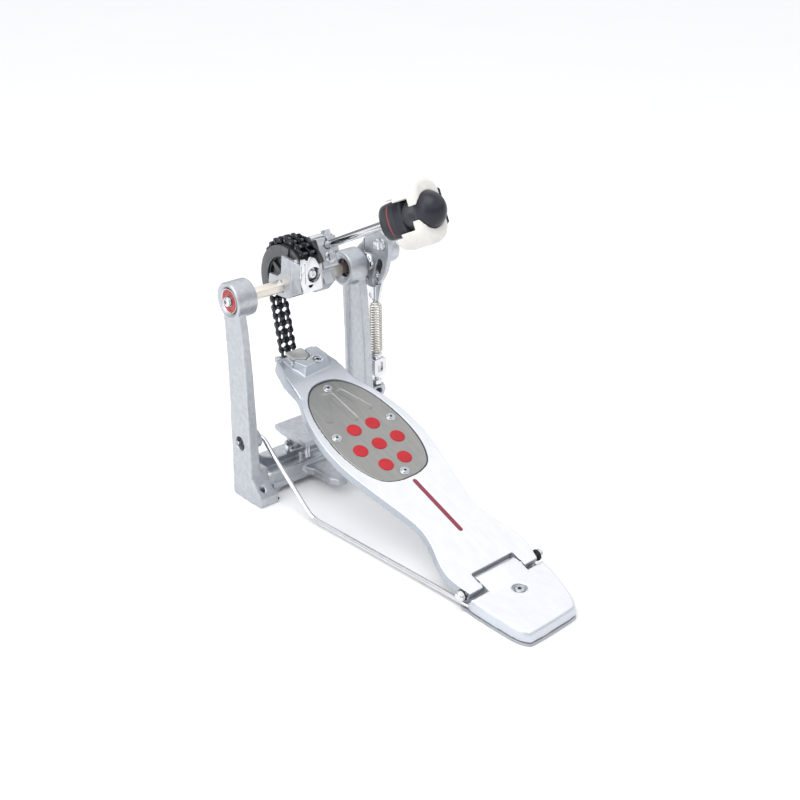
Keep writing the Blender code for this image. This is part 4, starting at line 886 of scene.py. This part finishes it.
def make_board():
    """Cast footboard: flat ears, waist, broad recessed tread area, raised toe and hollow underside."""
    side = smooth_line(HALF_BOARD, steps=4)
    side = [(23.6, 11.0), (23.6, -4.2), (38.6, -4.2)] + side + [(29.0, 262.0), (21.5, 286.5)]
    outline = side + [(-x, y) for x, y in reversed(side)]
    slab = prism(outline, -4.8, 3.0)
    wedge = xprism([(232, -4.8), (283, -10.0), (287.5, -8.4), (287.5, 2.0), (270, 5.5), (252, 5.0),
                    (232, 3.0)], -30, 30)
    trim = prism([(x * 0.995, y - 0.15) for x, y in outline], -20, 20)
    boolean_keep(wedge, trim)
    block = loft([[(x, y, z) for x, y in ring] for z,
                  ring in ((1.3, [(-14.6, 252.0), (18.5, 255.0), (25.6, 262.0), (20.5, 283.6), (-16.5, 283.6),
                                  (-18, 268)]), (12.2, [(-8.2, 260.4), (17.6, 263.4), (20.0, 267.0),
                                                        (17.0, 280.4), (-14.0, 280.4), (-14.8, 270)]))])
    bridge = box((5.3, 267.5, 2.3), (12.6, 281.3, 13.0))
    lugs = [xprism([(278, -8.8), (297, -10), (298.5, -5.5), (294, -2.4), (280, 2.1)],
                   *sorted((s * 9.7, s * 13.7))) for s in (-1, 1)]
    cuts = [prism(egg_outline(0.7), 0.6, 20.0), box((-9.4, 284, -30), (9.4, 310, 7.6)),
            rod((-60, 0, 0), (60, 0, 0), 2.7), rod((7.0, 264.6, 10.6), (7.0, 264.6, 20), 4.3),
            prism([(-20, 273.0), (-13.6, 272.9), (-3.5, 268.2), (4.2, 271.6), (4.4, 290), (-20, 290)], 8.8,
                  30.0), rod((-15.0, 271.8, 7.0), (-15.0, 271.8, 30.0), 1.5)]
    for low, high in ((28.0, 116.0), (121.0, 232.0)):
        rows = [low + (high - low) * i / 10 for i in range(11)]
        for way in (-1, 1):
            ring = [(way * 2.2, low)] + [(way * (half_width(y) - 5.0), y) for y in rows] + [(way * 2.2, high)]
            cuts.append(prism(ring, -9.0, -1.8))
    mesh = combined([slab, wedge, block, bridge, *lugs], cuts, voxel=0.75, relax=3)
    stand_in("footboard", mesh, "footboard", WHITE_ALLOY, BOARD, smooth=180.0)


def boolean_keep(body, keep):
    """Keeps only the part of `body` inside `keep`."""
    step = body.modifiers.new("keep", "BOOLEAN")
    step.operation = "INTERSECT"
    step.object = keep
    mesh = shape_of(body)
    body.modifiers.clear()
    body.data = mesh
    bpy.data.objects.remove(keep, do_unlink=True)


def make_tread():
    """Recessed tread plate with its pressed grooves, a dark ring of painted shade in the gap round it, rubber
    dots and countersunk screws.
    """
    # Painted shade: a dark ring under the plate's edge, seen in the gap round it.
    edge = prism(egg_outline(0.45), 0.4, 2.0)
    piece("tread_gap_shade", combined([edge], bevel=0.3), "footboard", TREAD_GAP_SHADE, BOARD)
    plate = prism(egg_outline(-0.2), 0.8, 2.5)
    grooves = [((-8.6, 229), (-23.0, 203)), ((-2.8, 228), (-0.5, 196)), ((9, 228), (20.0, 202))]
    dents = [prism(capsule(a, b, 3.6, steps=10), 2.05, 9.0) for a, b in grooves]
    mesh = combined([plate], dents, voxel=0.45, relax=4)
    stand_in("oval_plate", mesh, "footboard", TREAD, BOARD, smooth=180.0)
    spots = [(0.0, 160.4), (20.8, 160.4), (-20.8, 160.4)] + [(sx * 10.4, 160.4 + sy * 22.7)
                                                             for sy in (1, -1) for sx in (1, -1)]
    for number, (x, y) in enumerate(spots, start=1):
        dot = turned([(0, 6.86), (1.0, 6.86), (1.35, 6.6), (1.5, 6.0), (1.5, 0.3)], (x, y, 1.7), (x, y, 5),
                     56)
        stand_in("grip_dot_%d" % number, loose(dot), "footboard", RED_DOT, BOARD, smooth=40.0)
    for number, (x, y) in enumerate([(0, 236.0), (30.5, 182.0), (-30.5, 182.0), (0, 124.5)], start=1):
        make_plate_screw(number, x, y)
    line = combined([prism(capsule((0, 51.0), (0, 111.0), 2.1, steps=6), 2.4, 3.06)])
    piece("board_line", line, "footboard", RED_LINE, BOARD)


def make_plate_screw(number, x, y):
    """Dished steel washer with a socket screw in it."""
    dish = washer([(0, 4.5), (0.5, 4.6), (0.8, 4.2), (0.7, 3.0), (0.1, 2.8), (0, 2.8)], (x, y, 2.3),
                  (x, y, 9))
    piece("plate_washer_%d" % number, loose(dish), "footboard", SATIN, BOARD)
    socket_screw("plate_screw_%d" % number, (x, y, 2.3), (0, 0, 1), 3.1, 1.5, "footboard", BOARD,
                 ("plate_screw_%d" % number,))


def make_toe():
    """Pale clamp plate over the chain's end, and its recessed socket screw."""
    clamp = loft([[(x, y, z) for x, y in ring] for z,
                  ring in ((8.9, [(-14.6, 285.6), (-14.0, 273.6), (-3.5, 268.8), (3.7, 272.0), (4.2, 281.8),
                                  (2.4, 285.8)]), (12.0, [(-14.4, 284.2), (-13.6, 273.8), (-3.5, 269.0),
                                                          (3.6, 272.2), (4.0, 281.2), (2.2, 284.4)]))])
    stand_in("toe_clamp", combined([clamp], bevel=0.6), "footboard", PALE_GOLD, BOARD)
    socket_screw("toe_screw", (7.0, 264.6, 10.7), (0, 0, 1), 3.7, 1.9, "footboard", BOARD, ("toe_screw",))


# ---------------------------------------------------------------- heel
HEEL = [(-41.5, -268.5), (-42.4, -277.0), (-42.0, -300.0), (-41.0, -318.0), (-37.5, -327.5), (-30.0, -330.3),
        (10.5, -329.6), (17.5, -326.4), (23.5, -319.5), (32.5, -301.0), (39.8, -283.0), (42.5, -272.0),
        (42.6, -268.5)]


def make_heel():
    """Heel rest with its tongue, ground plate, hinge pin and recessed screw."""
    corner = smooth_line(HEEL, steps=4)
    rings = [[(x, y, z) for x, y in grown(corner, grow)] for z, grow in
             ((2.8, 0.0), (4.5, 0.1), (8.0, -0.1), (10.8, -0.9), (12.4, -2.4))]
    top = loft(rings)
    tongue = xprism([(-276, 5.5), (-257.5, 8.0), (-253.6, 12.4), (-253.6, 16.0), (-255.4, 17.4), (-260, 17.2),
                     (-265, 15.9), (-270, 13.9), (-276, 12.3)], -22.3, 22.3)
    shoulders = [box((min(s * 24, s * 41), -270.5, 3.0), (max(s * 24, s * 41), -266.4, 7.5)) for s in (-1, 1)]
    recess = turned([(0, 6.4), (3.6, 6.2)], (*HEEL_SCREW, 13.0), (*HEEL_SCREW, 0), 48)
    mesh = combined([top, *shoulders], [recess, rod((-60, *HINGE[1:]), (60, *HINGE[1:]), 2.8)],
                    voxel=0.7, relax=3)
    piece("heel_tongue", combined([tongue], bevel=0.7), "frame", HEEL_ALLOY)
    stand_in("heel_plate", mesh, "frame", HEEL_ALLOY, smooth=180.0)
    ground = corner[:-1] + [(42.5, -262), (38, -256), (-38, -256), (-42.0, -262)]
    base = combined([prism(grown(ground, 0.6), 0.0, 2.2)], bevel=0.3)
    stand_in("heel_base", base, "frame", GROUND_PLATE)
    ring = washer([(0, 6.1), (0.6, 6.2), (1.2, 5.8), (1.2, 4.9), (0.2, 4.5), (0, 4.5)], (*HEEL_SCREW, 9.2),
                  (*HEEL_SCREW, 20), 48)
    piece("heel_screw_ring", loose(ring), "frame", SATIN)
    socket_screw("heel_screw", (*HEEL_SCREW, 9.3), (0, 0, 1), 4.3, 2.4, "frame", WORLD, ("heel_screw",))
    heads, washers = [rod((-44, *HINGE[1:]), (44, *HINGE[1:]), 2.5)], []
    for side in (-1, 1):
        heads.append(turned([(0, 4.5), (2.6, 4.5), (3.7, 3.8), (4.4, 2.4), (4.6, 0.3)],
                            (side * 43.2, *HINGE[1:]), (side * 60, *HINGE[1:])))
        washers.append(turned([(0, 4.9), (1.5, 4.9)], (side * 41.7, *HINGE[1:]), (side * 60, *HINGE[1:])))
    stand_in("hinge_pin", loose(*heads), "frame", CHROME, smooth=35.0)
    piece("hinge_washers", loose(*washers), "frame", RUBBER)


def make_wire(side, node):
    """Spreader wire with its eased bends, and the small locking pin in the post."""
    route = [(side * x, y, z) for x, y, z in
             [(66.5, -4.5, 55), (58, -4.5, 55), (51.5, -5.0, 54.6), (49.0, -8.5, 52.6), (49.6, -20, 45.2),
              (51.2, -50, 25.8), (52.4, -75, 9.8), (52.3, -82, 6.2), (51.6, -92, 4.8), (49.5, -120, 4.6),
              (44, -196, 4.6), (39.6, -262, 4.6), (37.6, -280, 4.6)]]
    stand_in(node, loose(tube(smooth_line(route, steps=6), 2.15, sides=14)), "frame", CHROME, smooth=60.0)
    stub = [turned([(0, 1.9), (2.0, 1.9), (2.4, 1.4), (1.6, 0.9)], (side * 69.0, 1.0, 53.0),
                   (side * 90, 1.0, 53.0)), turned([(0, 5.9), (0.6, 5.9)], (side * 64.6, *WIRE_BORE),
                                                   (side * 90, *WIRE_BORE))]
    piece(node + "_pin", loose(stub[0]), "frame", CHROME)
    # Painted shade: a dark disc at the bottom of the wire's bore in the post.
    piece(node + "_bore", loose(stub[1]), "frame", HOLE_SHADE)


# ---------------------------------------------------------------- hoop clamp
def make_hoop_clamp():
    """Flat cast jaw on its knuckle, the rivet pin, and the jack screw."""
    plate = xprism([(-26, 38.0), (12, 37.6), (20, 38.8), (22.6, 40.2), (23.2, 42.6), (21.6, 44.8), (4, 45.2),
                    (-26, 43.6)], -15.2, 15.2)
    knuckle = xprism([(-11, 38.4), (-2.6, 26.0), (2.0, 23.5), (6.4, 25.4), (9.5, 31), (13, 38.2)], -11.2,
                     11.2)
    jaw = combined([plate, knuckle], [rod((*JAW_SCREW, 10), (*JAW_SCREW, 41.4), 5.4),
                                      rod((-20, *JAW_PIVOT), (20, *JAW_PIVOT), 2.1)], voxel=0.6, relax=3)
    stand_in("hoop_jaw", jaw, "jaw", CAST, smooth=180.0)
    pin = turned([(0, 2.0), (0.6, 3.2), (1.3, 3.2), (1.5, 1.8), (32.5, 1.8), (32.7, 3.2), (33.4, 3.2),
                  (34.0, 2.0)], (-17.0, *JAW_PIVOT), (17.0, *JAW_PIVOT), 32)
    stand_in("jaw_pin", loose(pin), "frame", CHROME)
    thread = [(0.0, 2.2), (0.6, 2.9)]
    for i in range(13):
        thread += [(1.2 + i * 1.1, 2.9), (1.75 + i * 1.1, 2.5)]
    thread += [(15.4, 2.9), (16.0, 4.6), (17.6, 4.6), (18.0, 3.6)]
    screw = turned(thread, (*JAW_SCREW, 16), (*JAW_SCREW, 40), 28)
    square = turned([(17.0, 3.8), (22.8, 3.8), (23.5, 2.8)], (*JAW_SCREW, 16), (*JAW_SCREW, 40), 4)
    stand_in("hoop_screw", loose(screw, square), "clamp_screw", CHROME)


def make_small_screws():
    """Socket screws on the cross member's ledge."""
    heads = []
    for side in (-1, 1):
        heads.append(turned([(0, 3.2), (1.2, 3.2), (1.6, 2.4)], (side * 51.5, -16.5, 20),
                            (side * 51.5, -16.5, 30), 28))
    piece("ledge_screws", loose(*heads), "frame", CHROME)


def keep_rubbers():
    """The foot pads keep their solids and only change material."""
    for node in ("left_foot_rubber", "right_foot_rubber"):
        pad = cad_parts[node]
        pad.data.materials.clear()
        pad.data.materials.append(RUBBER)


# ---------------------------------------------------------------- run
bpy.context.scene.view_settings.view_transform = "Standard"
make_camera()
make_studio()
make_frame_casting()
make_bearing("left_bearing", -1)
make_bearing("right_bearing", 1)
make_axle()
make_cam()
make_hub()
make_chain()
make_holder()
make_beater()
make_rocker()
make_spring()
make_adjuster()
make_board()
make_tread()
make_toe()
make_heel()
make_wire(-1, "left_wire")
make_wire(1, "right_wire")
make_hoop_clamp()
make_small_screws()
keep_rubbers()
